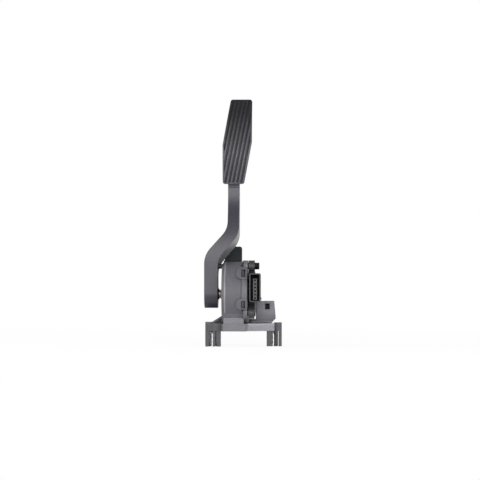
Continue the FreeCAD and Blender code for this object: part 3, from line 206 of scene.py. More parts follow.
def moulding(name, colour, gloss, grain=0.5, edge=0.5 * MM, streak=0.35, specular=0.5, bands=(),
             depth=6 * MM, full=0.80, palest=2.0, painted_side_light=None):
    """Glass-filled moulded plastic: cloudy tone, fine grain, faint rub streaks, painted shade in recesses.

    Bands come from band(): painted light where they are paler, painted shade where they are darker,
    and palest is how many times the colour a pale one gets to. Recesses no wider than depth get
    painted shade, fully so where the share called full is covered. The tone given as flank is painted
    light on the faces that look right, where it differs.
    """
    finish = new_finish(name)
    cloud = finish.noise(38.0, 3.0, 0.55)
    speck = finish.noise(1100.0, 3.0, 0.65)
    rub = finish.noise(55.0, 4.0, 0.6, (1.0, 1.0, 0.12)).above(0.60, 0.12)
    worn = tuple(c * 1.5 + 0.010 for c in colour)
    tone = finish.blend(cloud * 0.4 + speck * 0.6, times(colour, 0.85 - 0.20 * grain),
                        times(colour, 1.15 + 0.25 * grain))
    tone = finish.blend(rub * streak, tone, worn)
    rough = gloss + (cloud - 0.5) * 0.12 + (speck - 0.5) * 0.10 - rub * 0.05
    # Painted light or painted shade from each band, by where it lies, and a smoother surface.
    for limits, smoother, paler in bands:
        share = finish.within(limits)
        rough = rough - share * smoother
        tone = finish.blend(share * abs(paler), tone, times(colour, palest if paler > 0 else 0.25))
    # Painted light: faces that look right get their own paler tone.
    if painted_side_light:
        normal = finish.node("ShaderNodeNewGeometry", output="Normal")
        tone = finish.blend(finish.part(normal, "X").above(0.30, 0.25), tone,
                            finish.blend(cloud, times(painted_side_light, 0.85), times(painted_side_light, 1.15)))
    # Painted shade: recesses and corners turn darker, towards near black, and rougher.
    painted_shade = finish.sheltered(depth, full)
    tone = finish.blend(painted_shade * 0.92, tone, times(colour, 0.05))
    rounded = finish.soft_edges(edge)
    grained = finish.bump(speck, grain * 0.12 * MM, 0.4, rounded)
    waved = finish.bump(cloud, 0.25 * MM, 0.12, grained)
    return finish.surface(Base_Color=tone, Roughness=(rough + painted_shade * 0.5).limited(), Normal=waved,
                          Specular_IOR_Level=specular)


def rubber(name, colour, gloss, specular=0.5, dust=(0.06, 0.06, 0.065), amount=0.25, matt_painted_shade_top=None,
           rubbed=None):
    """Moulded rubber with a fine matt skin, a little dust in it and painted shade in recesses.

    The pair given as matt_painted_shade_top is the height where it turns matt and darker with painted
    shade, and the height of that change. The last argument names the mesh's values that are 1 on rib
    crests and the rim, which get a painted highlight, and 0 in the grooves, which get painted shade.
    """
    finish = new_finish(name)
    cloud = finish.noise(60.0, 4.0, 0.6)
    skin = finish.noise(2600.0, 2.0, 0.5)
    dusty = finish.noise(420.0, 3.0, 0.65).above(0.58, 0.12) * amount
    tone = finish.blend(cloud, times(colour, 0.8), times(colour, 1.25))
    rough = gloss + (cloud - 0.5) * 0.12 + dusty * 0.2
    # Painted shade: above the crown's height the tread turns darker, as well as matt and free of dust.
    if matt_painted_shade_top:
        high = finish.part(finish.place(), "Z").above(*matt_painted_shade_top)
        rough = rough + high * 0.55
        dusty = dusty * (1.0 - high)
        tone = finish.blend(high * 0.8, tone, times(colour, 0.3))
    tone = finish.blend(dusty, tone, dust)
    # Painted highlight on rib crests and the rim, painted shade in the grooves; less highlight where the
    # top is shaded.
    if rubbed:
        crest = finish.node("ShaderNodeAttribute", {"attribute_name": rubbed}, output=2)
        crest = crest.above(0.25, 0.60) * (1.0 - cloud * 0.4)
        if matt_painted_shade_top:
            crest = crest * (1.0 - high * 0.88)
        tone = finish.blend(crest, times(colour, 0.5), times(colour, 4.4))
        rough = rough - crest * 0.05 + 0.06
    # Painted shade in recesses.
    painted_shade = finish.sheltered(4 * MM)
    tone = finish.blend(painted_shade * 0.8, tone, times(colour, 0.1))
    normal = finish.bump(skin, 0.05 * MM, 0.3, finish.soft_edges(0.3 * MM))
    return finish.surface(Base_Color=tone, Roughness=(rough + painted_shade * 0.4).limited(), Normal=normal,
                          Specular_IOR_Level=specular)


def metal(name, colour, gloss, lines=(1.0, 1.0, 1.0), tarnish=0.15, edge=0.25 * MM, painted_shade_share=0.35):
    """Turned or drawn metal: fine tool lines, a cloudy tarnish, and painted shade with more roughness in
    recesses.
    """
    finish = new_finish(name)
    cloud = finish.noise(160.0, 3.0, 0.6)
    tool = finish.noise(1400.0, 2.0, 0.5, lines)
    dull = cloud.above(0.48, 0.25) * tarnish
    tone = finish.blend(dull, colour, times(colour, 0.45))
    # Painted shade in recesses, as strong as the share given last, with more roughness.
    painted_shade = finish.sheltered(5 * MM)
    tone = finish.blend(painted_shade * painted_shade_share, tone, times(colour, 0.06))
    rough = gloss + (tool - 0.5) * 0.16 + dull * 0.5 + painted_shade * (painted_shade_share * 0.5)
    normal = finish.bump(tool, 0.02 * MM, 0.4, finish.soft_edges(edge))
    return finish.surface(Base_Color=tone, Metallic=1.0, Roughness=rough.limited(), Normal=normal)


def board_finish(name, mask, copper):
    """A lacquered circuit board: weave under the lacquer, faint traces."""
    finish = new_finish(name)
    weave = finish.node("ShaderNodeTexWave", {"wave_type": "BANDS", "bands_direction": "Z"},
                        {"Vector": finish.place(), "Scale": 420.0, "Distortion": 0.4})
    trace = finish.node("ShaderNodeTexVoronoi", {"feature": "DISTANCE_TO_EDGE"},
                        {"Vector": finish.place(), "Scale": 260.0})
    line = 1.0 - trace.above(0.05, 0.03)
    tone = finish.blend(weave * 0.35, mask, times(mask, 1.5))
    tone = finish.blend(line * 0.5, tone, copper)
    normal = finish.bump(line, 0.03 * MM, 0.4)
    return finish.surface(Base_Color=tone, Roughness=0.28 + weave * 0.08, Normal=normal)


# Mesh building
def new_piece(name, mesh, body, material, stands_for):
    """Links a mesh as a piece that rides on a body, takes a slot's finish and stands for nodes."""
    piece = bpy.data.objects.new(name, mesh)
    bpy.context.scene.collection.objects.link(piece)
    mesh.materials.append(material)
    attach(piece, body)
    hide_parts(*stands_for)


def mesh_from(name, grid):
    """Turns a bmesh into a mesh with outward normals and smooth faces."""
    bmesh.ops.recalc_face_normals(grid, faces=grid.faces)
    mesh = bpy.data.meshes.new(name)
    grid.to_mesh(mesh)
    grid.free()
    mesh.polygons.foreach_set("use_smooth", [True] * len(mesh.polygons))
    return mesh


def crease(mesh, degrees):
    """Keeps edges sharper than the angle flat-shaded on each side."""
    grid = bmesh.new()
    grid.from_mesh(mesh)
    limit = math.radians(degrees)
    for edge in grid.edges:
        if len(edge.link_faces) == 2 and edge.calc_face_angle() > limit:
            edge.smooth = False
    grid.to_mesh(mesh)
    grid.free()
    return mesh


def dress(material, *names):
    """Gives CAD nodes a finish."""
    for name in names:
        slots = NODE[name].data.materials
        slots.clear()
        slots.append(material)


def bridge(grid, rings):
    """Joins each ring of points to the next, and closes the first and the last."""
    for first, second in zip(rings, rings[1:]):
        for i, here in enumerate(first):
            j = (i + 1) % len(first)
            grid.faces.new((here, first[j], second[j], second[i]))
    grid.faces.new(rings[0])
    grid.faces.new(list(reversed(rings[-1])))


def lathe(grid, centre, profile, steps=36):
    """Turns a profile about the X axis through a centre.

    Its points are (along, radius, shape), with a hexagonal one's radius taken to its corners.
    """
    rings = []
    for along, radius, shape in profile:
        ring = []
        for i in range(steps):
            turn = 2 * math.pi * i / steps
            reach = radius
            if shape == HEXAGONAL:
                reach *= math.cos(math.pi / 6) / math.cos(turn % (math.pi / 3) - math.pi / 6)
            ring.append(grid.verts.new(centre + Vector((along, math.cos(turn) * reach,
                                                        math.sin(turn) * reach))))
        rings.append(ring)
    bridge(grid, rings)


# Settings
def length(name, description, default):
    return bpy.props.FloatProperty(name=name, description=description, default=default,
                                   subtype="DISTANCE", unit="LENGTH", precision=5)


def tilt(name, description, degrees):
    return bpy.props.FloatProperty(name=name, description=description, default=math.radians(degrees),
                                   subtype="ANGLE", unit="ROTATION")


def watts(name, description, default):
    return bpy.props.FloatProperty(name=name, description=description, default=default, unit="POWER")


def shade(name, description, default):
    return bpy.props.FloatVectorProperty(name=name, description=description, default=default,
                                         subtype="COLOR", size=3, min=0.0, max=1.0)


class PedalColours(bpy.types.PropertyGroup):
    """The finishes that a user would repaint."""

    housing: shade("Housing", "Housing, base and feet", (0.076, 0.074, 0.085))
    arm: shade("Arm", "Pedal arm", (0.028, 0.0265, 0.036))
    tread: shade("Tread", "Rubber tread", (0.015, 0.015, 0.018))
    stop: shade("Stop", "Rubber stop", (0.010, 0.012, 0.014))
    sensor: shade("Sensor", "Sensor's body and connector", (0.022, 0.022, 0.026))
    insert: shade("Insert", "Terminal block", (0.018, 0.018, 0.019))
    steel: shade("Steel", "Turned and drawn steel", (0.56, 0.55, 0.54))
    bronze: shade("Bronze", "Bushes", (0.34, 0.19, 0.11))


class TreadSizes(bpy.types.PropertyGroup):
    """The tread's ribs and crown."""

    pitch: length("Pitch", "Distance from rib to rib", 4.8 * MM)
    offset: length("Offset", "A rib's middle line to the right of the tread's middle", 2.44 * MM)
    rib_height: length("Rib height", "Height of a rib over the groove's floor", 1.1 * MM)
    left_side: length("Left side", "Upright part of the left side", 46.6 * MM)
    right_side: length("Right side", "Upright part of the right side", 52.0 * MM)
    side_run: length("Side run", "Width that each slanted side takes", 9.6 * MM)
    border: length("Border", "Width of the plain rim", 2.1 * MM)
    corner: length("Corner", "Radius of the tread's corners", 3.0 * MM)
    thickness: length("Thickness", "Thickness of the rubber", 6.0 * MM)
    rounding: length("Rounding", "Radius of the front edge", 0.6 * MM)
    crown: length("Crown", "Radius of the crown", 150.0 * MM)
    crown_height: length("Crown height", "Where the crown faces the driver", 233.0 * MM)
    # Over this height the tread turns matt and darker with painted shade.
    matt_and_shade_height: length("Matt height", "Height over which it turns matt above there", 50.0 * MM)
    lean: tilt("Lean", "Lean of the ribs from upright", 11.2)


class BracketSizes(bpy.types.PropertyGroup):
    """How far the side bracket is brought towards the drum."""

    tail_shift: length("Tail shift", "How far its tail is brought to the left", 1.4 * MM)
    web_shift: length("Web shift", "How far its web is brought to the left", 1.8 * MM)


class SpringSizes(bpy.types.PropertyGroup):
    """The two return springs in the drum."""

    outer_coil: length("Outer coil", "Middle radius of the outer spring", 23.0 * MM)
    outer_wire: length("Outer wire", "Radius of the outer spring's wire", 1.4 * MM)
    inner_coil: length("Inner coil", "Middle radius of the inner spring", 13.0 * MM)
    inner_wire: length("Inner wire", "Radius of the inner spring's wire", 1.1 * MM)
    turns: bpy.props.FloatProperty(name="Turns", description="Turns of each spring", default=3.0)


class ScrewSizes(bpy.types.PropertyGroup):
    """The two hex screws that hold the sensor."""

    circle: length("Circle", "From the pivot to each screw", 38.0 * MM)
    upper_turn: tilt("Upper screw", "Turn from the back up to the upper screw", 117.2)
    rear_turn: tilt("Rear screw", "Turn from the back up to the rear screw", 350.0)
    shank: length("Shank", "Radius of the shank", 2.0 * MM)
    lead: length("Lead", "Chamfer of the shank's end", 0.5 * MM)
    flats: length("Flats", "Width across the head's flats", 8.0 * MM)
    head: length("Head", "Height of the head with its washer", 5.5 * MM)
    washer: length("Washer", "Radius of the washer face", 4.4 * MM)
    washer_height: length("Washer height", "Height of the washer face", 0.6 * MM)


class StageSizes(bpy.types.PropertyGroup):
    """The camera and the lamps."""

    distance: length("Distance", "Camera to pedal", 3.0)
    field: length("Field", "Width of the view at the pedal", 0.576)
    aim_across: length("Aim across", "View's middle across", 32.2 * MM)
    aim_up: length("Aim up", "View's middle above the floor", 127.6 * MM)
    turn: tilt("Turn", "Camera's turn to the right", 2.2)
    front_light: watts("Front light", "Lamp beside the camera", 17.0)
    left_light: watts("Left light", "Strip lamp on the left", 14.0)
    right_light: watts("Right light", "Strip lamp on the right", 12.0)
    side_light: watts("Side light", "Small lamp at the right side", 6.0)
    room_light: bpy.props.FloatProperty(name="Room light", description="Light from all round",
                                        default=0.50)
    floor_reach: length("Floor reach", "From the middle to each side of the floor", 6.0)


# Operators
class PEDAL_OT_mouldings(bpy.types.Operator):
    """Gives the housing, base, feet, cover and arm their moulded plastic."""

    bl_idname = "pedal.mouldings"
    bl_label = "Finish mouldings"

    def execute(self, context):
        tint = context.scene.pedal_colours
        grey = tuple(tint.housing)
        # Painted light on the housing's lower part and a painted highlight down the drum's left rim;
        # painted shade beside that rim and on the snap catch windows.
        plinth_painted_light = band(0.22, 0.22, Z=(-1.0, 40.0))
        rim_painted_highlight = band(1.00, 0.20, X=(13.6, 16.0), Z=(40.0, 102.0))
        rim_side_painted_shade = band(-0.35, X=(11.6, 13.6), Z=(40.0, 102.0))
        catches_painted_shade = band(-0.60, X=(34.4, 38.8), Z=(42.0, 95.0))
        dress(moulding("housing_moulding", times(grey, 0.88), 0.60, grain=1.0,
                       bands=(plinth_painted_light, rim_painted_highlight, rim_side_painted_shade, catches_painted_shade), palest=2.8), "housing")
        # Painted light on the base's front face right of the left foot and on the bar to the right foot, a
        # painted highlight along that bar's top edge, and painted shade on the left corner by the left
        # foot.
        wall_painted_light = band(0.32, 0.22, X=(12.0, FAR))
        beam_painted_light = band(0.50, 0.10, X=(42.0, FAR))
        lip_painted_highlight = band(0.90, 0.10, X=(42.0, FAR), Z=(25.2, FAR))
        corner = band(-0.35, X=(-20.0, 11.4), Z=(-1.0, 27.0))
        dress(moulding("base_moulding", times(grey, 0.68), 0.62, grain=0.8,
                       bands=(wall_painted_light, beam_painted_light, lip_painted_highlight, corner), palest=2.8), "base_plate")
        # Painted light inside the left foot round its sleeve and in the right foot's slot.
        inside = band(1.0, X=(-5.4, 7.2), Y=(-8.0, 8.0), Z=(-1.0, 18.0))
        gap_painted_light = band(1.0, X=(69.0, 73.0), Y=(3.0, 19.0), Z=(-1.0, 18.0))
        dress(moulding("foot_moulding", times(grey, 0.52), 0.60, depth=1 * MM,
                       bands=(inside, gap_painted_light), palest=3.4), "left_foot", "right_foot", "rear_foot")
        dress(moulding("cover_moulding", grey, 0.52, grain=0.8, depth=4 * MM), "drum_cover")
        dress(moulding("arm_moulding", tuple(tint.arm), 0.38, grain=0.3, edge=0.6 * MM,
                       specular=0.38, depth=5 * MM, painted_side_light=(0.108, 0.106, 0.112)), "pedal_arm")
        return {"FINISHED"}


class PEDAL_OT_sensor(bpy.types.Operator):
    """Finishes the sensor, its connector, board, rotor and seal."""

    bl_idname = "pedal.sensor"
    bl_label = "Finish sensor"

    def execute(self, context):
        tint = context.scene.pedal_colours
        # A 12 mm reach gives painted shade deep in the connector's cavity.
        dress(moulding("sensor_moulding", tuple(tint.sensor), 0.50, grain=0.2, streak=0.15,
                       specular=0.38, depth=12 * MM), "sensor_housing", "sensor_lid", "sensor_rotor")
        dress(moulding("insert_moulding", tuple(tint.insert), 0.45, grain=0.1, edge=0.2 * MM,
                       depth=3 * MM), "terminal_block")
        # Near full painted shade on the terminals, deep in the connector's cavity.
        dress(metal("contact_plating", (0.45, 0.34, 0.17), 0.40, painted_shade_share=0.92), "terminals")
        dress(board_finish("board_lacquer", (0.010, 0.075, 0.030), (0.10, 0.22, 0.06)), "circuit_board")
        dress(rubber("seal_rubber", (0.10, 0.022, 0.015), 0.45), "sensor_seal")
        return {"FINISHED"}


class PEDAL_OT_bracket(bpy.types.Operator):
    """Builds the side bracket with its tail and its web brought towards the drum."""

    bl_idname = "pedal.bracket"
    bl_label = "Build side bracket"

    def execute(self, context):
        sizes = context.scene.bracket_sizes
        tail_end = 45.0 * MM
        web_side = 53.0 * MM
        web_foot = 32.0 * MM
        solid = NODE["side_bracket"]
        grid = bmesh.new()
        grid.from_mesh(solid.data)
        bmesh.ops.remove_doubles(grid, verts=grid.verts, dist=0.001 * MM)
        for vert in grid.verts:
            vert.co = solid.matrix_world @ vert.co
            if vert.co.x < tail_end:
                vert.co.x -= sizes.tail_shift
            elif vert.co.x < web_side and vert.co.z > web_foot:
                vert.co.x -= sizes.web_shift
        # A low full share makes the painted shade in the clip hole near black.
        finish = moulding("bracket_moulding", times(context.scene.pedal_colours.housing, 1.1), 0.46,
                          full=0.55)
        mesh = crease(mesh_from("bracket", grid), 25)
        new_piece("bracket", mesh, "unit", finish, ["side_bracket"])
        return {"FINISHED"}


class PEDAL_OT_stop(bpy.types.Operator):
    """Finishes the rubber stop behind the arm."""

    bl_idname = "pedal.stop"
    bl_label = "Finish stop"

    def execute(self, context):
        tint = context.scene.pedal_colours
        dress(rubber("stop_rubber", tuple(tint.stop), 0.65, specular=0.15), "stop_bumper")
        return {"FINISHED"}


class PEDAL_OT_metal(bpy.types.Operator):
    """Finishes the shaft, its washer and clip, the bushes, the sleeves and the drum's inner parts."""

    bl_idname = "pedal.metal"
    bl_label = "Finish metal parts"

    def execute(self, context):
        tint = context.scene.pedal_colours
        dress(metal("turned_steel", tuple(tint.steel), 0.36, (1.0, 0.05, 0.05)), "pivot_shaft",
              "thrust_washer", "shaft_clip", "spring_anchor")
        dress(metal("pressed_steel", times(tint.steel, 1.25), 0.45, (1.0, 1.0, 0.05),
                    painted_shade_share=0.10), "mount_sleeve_left", "mount_sleeve_right", "mount_sleeve_rear")
        dress(metal("sintered_bronze", tuple(tint.bronze), 0.55, tarnish=0.5), "flanged_bush",
              "cover_bush")
        dress(moulding("natural_moulding", (0.55, 0.50, 0.40), 0.35), "spring_carrier")
        dress(rubber("friction_lining", (0.16, 0.10, 0.07), 0.7), "friction_shoe")
        return {"FINISHED"}


def outline(low, high, sizes):
    """Lines round the tread's six sides and its rounded corners: (point, outward normal)."""
    corners = [Vector((low.x, low.z)), Vector((high.x - sizes.side_run, low.z)),
               Vector((high.x, high.z - sizes.right_side)), Vector((high.x, high.z)),
               Vector((low.x + sizes.side_run, high.z)), Vector((low.x, low.z + sizes.left_side))]
    nearly_straight = math.radians(75)
    lines = []
    count = len(corners)
    for i, here in enumerate(corners):
        way = (corners[(i + 1) % count] - here).normalized()
        lines.append((here, Vector((way.y, -way.x))))
    for i, here in enumerate(corners):
        back = (corners[i - 1] - here).normalized()
        ahead = (corners[(i + 1) % count] - here).normalized()
        half = back.angle(ahead) / 2
        if half > nearly_straight:
            continue
        middle = here + (back + ahead).normalized() * (sizes.corner / math.sin(half))
        first = Vector((-back.y, back.x))
        last = Vector((ahead.y, -ahead.x))
        for step in (0.17, 0.5, 0.83):
            out = first.lerp(last, step).normalized()
            lines.append((middle + out * sizes.corner, out))
    return lines


def leaning_sheet(grid, low, high, middle, lean):
    """A flat sheet that covers the tread's box, with columns that lean as the ribs do."""
    column = 0.42 * MM
    spare_columns = 60
    spare_width = 4 * MM
    rows = 90
    columns = int((high.x - low.x) / column) + spare_columns
    wide = (high.x - low.x) + (high.z - low.z) * lean + spare_width
    verts = []
    for j in range(rows + 1):
        z = low.z + (high.z - low.z) * j / rows
        shift = (z - middle.y) * lean
        verts.append([grid.verts.new((middle.x - wide / 2 + wide * i / columns + shift, 0.0, z))
                      for i in range(columns + 1)])
    for j in range(rows):
        for i in range(columns):
            grid.faces.new((verts[j][i], verts[j][i + 1], verts[j + 1][i + 1], verts[j + 1][i]))


def cut_out(grid, lines, insets):
    """Cuts a sheet along the lines, so far in from them each time, and drops what lies outside."""
    for inset in insets:
        for start, out in lines:
            geometry = list(grid.verts) + list(grid.edges) + list(grid.faces)
            bmesh.ops.bisect_plane(grid, geom=geometry, dist=1e-7,
                                   plane_co=(start.x - out.x * inset, 0.0, start.y - out.y * inset),
                                   plane_no=(out.x, 0.0, out.y), clear_outer=inset == 0.0)
    bmesh.ops.remove_doubles(grid, verts=grid.verts, dist=0.02 * MM)


def open_edges(grid):
    return [edge for edge in grid.edges if len(edge.link_faces) == 1]


class PEDAL_OT_tread(bpy.types.Operator):
    """Builds the crowned rubber tread with its rim and leaning ribs."""

    bl_idname = "pedal.tread"
    bl_label = "Build tread"

    def execute(self, context):
        sizes = context.scene.tread_sizes
        low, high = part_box("pedal_pad")
        middle = Vector(((low.x + high.x) / 2, (low.z + high.z) / 2))
        lean = math.tan(sizes.lean)
        axis_y = low.y + sizes.crown
        soft_step = 0.5 * MM
        # Share of the crests' painted highlight that the tread's skirt gets.
        skirt_painted_light = 0.4

        def groove(x, z, inside):
            """0 on a rib or on the rim, 1 on a groove's floor."""
            run = (x - middle.x) - (z - middle.y) * lean - sizes.offset
            raised = 0.5 + 0.5 * math.cos(2 * math.pi * run / sizes.pitch)
            past_rim = min(max((inside - sizes.border * 0.75) / soft_step, 0.0), 1.0)
            return (1.0 - raised) * past_rim

        def crowned(z, sink):
            """How far back the crown lies at a height, sunk by so much."""
            rise = z - sizes.crown_height
            return axis_y - math.sqrt((sizes.crown - sink) ** 2 - rise ** 2)

        lines = outline(low, high, sizes)
        grid = bmesh.new()
        leaning_sheet(grid, low, high, middle, lean)
        cut_out(grid, lines, (sizes.border, soft_step, 0.0))
        # Per point: 1 on crests and the rim for a painted highlight, 0 in grooves for painted shade.
        rubbed = grid.verts.layers.float.new("rubbed")
        for vert in list(grid.verts):
            point = Vector((vert.co.x, vert.co.z))
            inside = min((start - point).dot(out) for start, out in lines)
            depth = groove(vert.co.x, vert.co.z, inside)
            vert[rubbed] = 1.0 - depth
            fall = max(sizes.rounding - inside, 0.0)
            rounded = sizes.rounding - math.sqrt(max(sizes.rounding ** 2 - fall ** 2, 0.0))
            vert.co.y = crowned(vert.co.z, sizes.rib_height * depth + rounded)
        made = bmesh.ops.extrude_edge_only(grid, edges=open_edges(grid))
        for vert in made["geom"]:
            if isinstance(vert, bmesh.types.BMVert):
                vert[rubbed] = skirt_painted_light
                vert.co.y = crowned(vert.co.z, sizes.thickness)
        bmesh.ops.contextual_create(grid, geom=open_edges(grid))
        mesh = mesh_from("tread", grid)
        finish = rubber("tread_rubber", tuple(context.scene.pedal_colours.tread), 0.42, specular=0.36,
                        amount=0.06, matt_painted_shade_top=(sizes.crown_height, sizes.matt_and_shade_height),
                        rubbed="rubbed")
        new_piece("tread", crease(mesh, 50), "pedal", finish, ["pedal_pad"])
        return {"FINISHED"}


def coil_mesh(name, radius, wire, low, high, turns, steps_a_turn=40, sides=12):
    """A closed round-wire coil about the pivot."""
    grid = bmesh.new()
    steps = int(turns * steps_a_turn)
    rings = []
    for i in range(steps + 1):
        turn = 2 * math.pi * turns * i / steps
        along = low + (high - low) * i / steps
        out = Vector((0, math.cos(turn), math.sin(turn)))
        centre = Vector((along, PIVOT.y, PIVOT.z)) + out * radius
        ring = []
        for k in range(sides):
            round_wire = 2 * math.pi * k / sides
            ring.append(grid.verts.new(centre + out * (wire * math.cos(round_wire))
                                       + Vector((1, 0, 0)) * (wire * math.sin(round_wire))))
        rings.append(ring)
    bridge(grid, rings)
    return mesh_from(name, grid)


class PEDAL_OT_springs(bpy.types.Operator):
    """Builds the two return springs as round wire."""

    bl_idname = "pedal.springs"
    bl_label = "Build return springs"

    def execute(self, context):
        sizes = context.scene.spring_sizes
        wire_finish = metal("spring_wire", (0.32, 0.31, 0.30), 0.34, tarnish=0.3)
        for node, coil, wire in (("outer_return_spring", sizes.outer_coil, sizes.outer_wire),
                                 ("inner_return_spring", sizes.inner_coil, sizes.inner_wire)):
            low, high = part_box(node)
            mesh = coil_mesh(node + "_coil", coil, wire, low.x + wire, high.x - wire, sizes.turns)
            new_piece(node + "_coil", mesh, "unit", wire_finish, [node])
        return {"FINISHED"}


class PEDAL_OT_screws(bpy.types.Operator):
    """Builds the two hex screws that hold the sensor."""

    bl_idname = "pedal.screws"
    bl_label = "Build sensor screws"

    def execute(self, context):
        sizes = context.scene.screw_sizes
        finish = metal("black_screw", (0.030, 0.030, 0.032), 0.38, tarnish=0.4)
        low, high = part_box("sensor_screws")
        point = 0.001 * MM
        seat = high.x - sizes.head
        washer_top = seat + sizes.washer_height
        shoulder = high.x - 0.5 * MM
        crest = high.x - 0.1 * MM
        corner = sizes.flats / math.sqrt(3)
        shank = (
            (low.x, point, ROUND),
            (low.x, sizes.shank * 0.8, ROUND),
            (low.x + sizes.lead, sizes.shank, ROUND),
            (seat, sizes.shank, ROUND),
            (seat, sizes.washer, ROUND),
            (washer_top, sizes.washer, ROUND),
            (washer_top, sizes.washer - 1.0 * MM, ROUND),
        )
        head = (
            (washer_top, corner * 0.96, HEXAGONAL),
            (washer_top, corner, HEXAGONAL),
            (shoulder, corner, HEXAGONAL),
            (crest, corner * 0.90, ROUND),
            (crest, corner * 0.62, ROUND),
            (shoulder, corner * 0.56, ROUND),
        )
        grid = bmesh.new()
        for turn in (sizes.upper_turn, sizes.rear_turn):
            centre = Vector((0, PIVOT.y + sizes.circle * math.cos(turn),
                             PIVOT.z + sizes.circle * math.sin(turn)))
            lathe(grid, centre, shank)
            lathe(grid, centre, head)
        mesh = crease(mesh_from("hex_screws", grid), 30)
        new_piece("hex_screws", mesh, "unit", finish, ["sensor_screws"])
        return {"FINISHED"}


# Each lamp's place from the view's middle, its width, its height and the setting of its light
LAMPS = {
    "front_lamp": ((-0.1, -1.6, 0.28), 0.9, 0.9, "front_light"),
    "left_lamp": ((-1.2, -0.1, 0.25), 0.3, 1.2, "left_light"),
    "right_lamp": ((0.79, -1.16, 0.10), 0.5, 0.8, "right_light"),
    "side_lamp": ((1.2, -0.15, -0.02), 0.3, 0.4, "side_light"),
}


def lamp(name, place, aim, width, height, energy):
    """A soft rectangular lamp that points at a place."""
    data = bpy.data.lights.new(name, "AREA")
    data.shape = "RECTANGLE"
    data.size = width
    data.size_y = height
    data.energy = energy
    item = bpy.data.objects.new(name, data)
    item.location = place
    item.rotation_euler = (aim - place).to_track_quat("-Z", "Y").to_euler()
    bpy.context.scene.collection.objects.link(item)


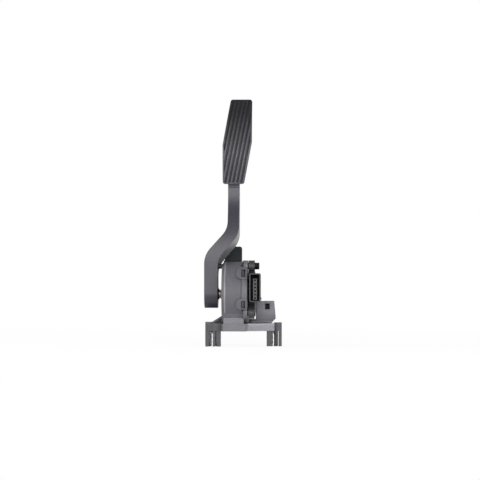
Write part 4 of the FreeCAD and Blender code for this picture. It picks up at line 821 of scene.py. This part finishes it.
class PEDAL_OT_stage(bpy.types.Operator):
    """Sets the camera, the lamps, the pale floor and the room."""

    bl_idname = "pedal.stage"
    bl_label = "Set stage"

    def execute(self, context):
        sizes = context.scene.stage_sizes
        scene = context.scene
        scene.view_settings.view_transform = "Standard"
        aim = Vector((sizes.aim_across, 0.0, sizes.aim_up))
        self.camera(scene, sizes, aim)
        for name, (place, width, height, light) in LAMPS.items():
            lamp(name, aim + Vector(place), aim, width, height, getattr(sizes, light))
        self.floor(scene, sizes.floor_reach)
        self.room(scene, sizes.room_light)
        return {"FINISHED"}

    def camera(self, scene, sizes, aim):
        """A level camera that looks at the driver's side."""
        sensor = 36.0
        data = bpy.data.cameras.new("view")
        data.sensor_width = sensor
        data.lens = sensor * sizes.distance / sizes.field
        data.clip_start = 0.05
        data.clip_end = 50.0
        camera = bpy.data.objects.new("view", data)
        way = Vector((math.sin(sizes.turn), -math.cos(sizes.turn), 0.0))
        camera.location = aim + way * sizes.distance
        camera.rotation_euler = (-way).to_track_quat("-Z", "Y").to_euler()
        scene.collection.objects.link(camera)
        scene.camera = camera

    def floor(self, scene, reach):
        """A pale floor that takes the pedal's shadow and turns white further out."""
        finish = new_finish("pale_floor")
        seen, mirrored, passed = finish.rays()
        tone = finish.blend(finish.noise(6.0), (0.86, 0.86, 0.86), (0.90, 0.90, 0.90))
        matt = finish.node("ShaderNodeBsdfDiffuse", None, {"Color": tone})
        bright = finish.node("ShaderNodeEmission", None, {"Color": WHITE, "Strength": 1.0})
        away = finish.node("ShaderNodeVectorMath", {"operation": "LENGTH"}, {0: finish.place()}, output=1)
        share = (seen + mirrored + passed).limited() * (0.92 + away.above(0.15, 0.6) * 0.08)
        mix = finish.node("ShaderNodeMixShader", None, {0: share, 1: matt, 2: bright})
        grid = bmesh.new()
        grid.faces.new([grid.verts.new((x, y, 0.0)) for x, y in
                        ((-reach, -reach), (reach, -reach), (reach, reach), (-reach, reach))])
        mesh = bpy.data.meshes.new("floor")
        grid.to_mesh(mesh)
        grid.free()
        mesh.materials.append(finish.close(mix))
        item = bpy.data.objects.new("floor", mesh)
        scene.collection.objects.link(item)

    def room(self, scene, strength):
        """Even light from all round, and a white backdrop behind the pedal."""
        world = bpy.data.worlds.new("room")
        scene.world = world
        finish = Finish(world)
        seen, mirrored, passed = finish.rays()
        heading = finish.node("ShaderNodeTexCoord", output="Generated")
        behind = finish.part(heading, "Y").above(-0.05, 0.3)
        light = finish.node("ShaderNodeBackground", None, {"Color": WHITE, "Strength": strength})
        pale = finish.node("ShaderNodeBackground", None, {"Color": WHITE, "Strength": 1.0})
        share = (seen + (mirrored + passed) * behind).limited()
        mix = finish.node("ShaderNodeMixShader", None, {0: share, 1: light, 2: pale})
        finish.node("ShaderNodeOutputWorld", None, {"Surface": mix})


class PEDAL_PT_panel(bpy.types.Panel):
    """Lists the pedal's settings and its operators."""

    bl_label = "Accelerator pedal"
    bl_idname = "PEDAL_PT_panel"
    bl_space_type = "VIEW_3D"
    bl_region_type = "UI"
    bl_category = "Pedal"

    def draw(self, context):
        column = self.layout.column()
        for name, group in GROUPS.items():
            for key in group.__annotations__:
                column.prop(getattr(context.scene, name), key)
        for operator in OPERATORS:
            column.operator(operator.bl_idname)


OPERATORS = (PEDAL_OT_mouldings, PEDAL_OT_sensor, PEDAL_OT_bracket, PEDAL_OT_stop, PEDAL_OT_metal,
             PEDAL_OT_tread, PEDAL_OT_springs, PEDAL_OT_screws, PEDAL_OT_stage)
GROUPS = {"pedal_colours": PedalColours, "tread_sizes": TreadSizes, "bracket_sizes": BracketSizes,
          "spring_sizes": SpringSizes, "screw_sizes": ScrewSizes, "stage_sizes": StageSizes}


def register():
    for group in GROUPS.values():
        bpy.utils.register_class(group)
    for name, group in GROUPS.items():
        setattr(bpy.types.Scene, name, bpy.props.PointerProperty(type=group))
    for operator in OPERATORS:
        bpy.utils.register_class(operator)
    bpy.utils.register_class(PEDAL_PT_panel)


def unregister():
    bpy.utils.unregister_class(PEDAL_PT_panel)
    for operator in reversed(OPERATORS):
        bpy.utils.unregister_class(operator)
    for name, group in GROUPS.items():
        delattr(bpy.types.Scene, name)
        bpy.utils.unregister_class(group)


def main():
    register()
    bpy.ops.pedal.mouldings()
    bpy.ops.pedal.sensor()
    bpy.ops.pedal.bracket()
    bpy.ops.pedal.stop()
    bpy.ops.pedal.metal()
    bpy.ops.pedal.tread()
    bpy.ops.pedal.springs()
    bpy.ops.pedal.screws()
    bpy.ops.pedal.stage()


if __name__ == "__main__":
    main()
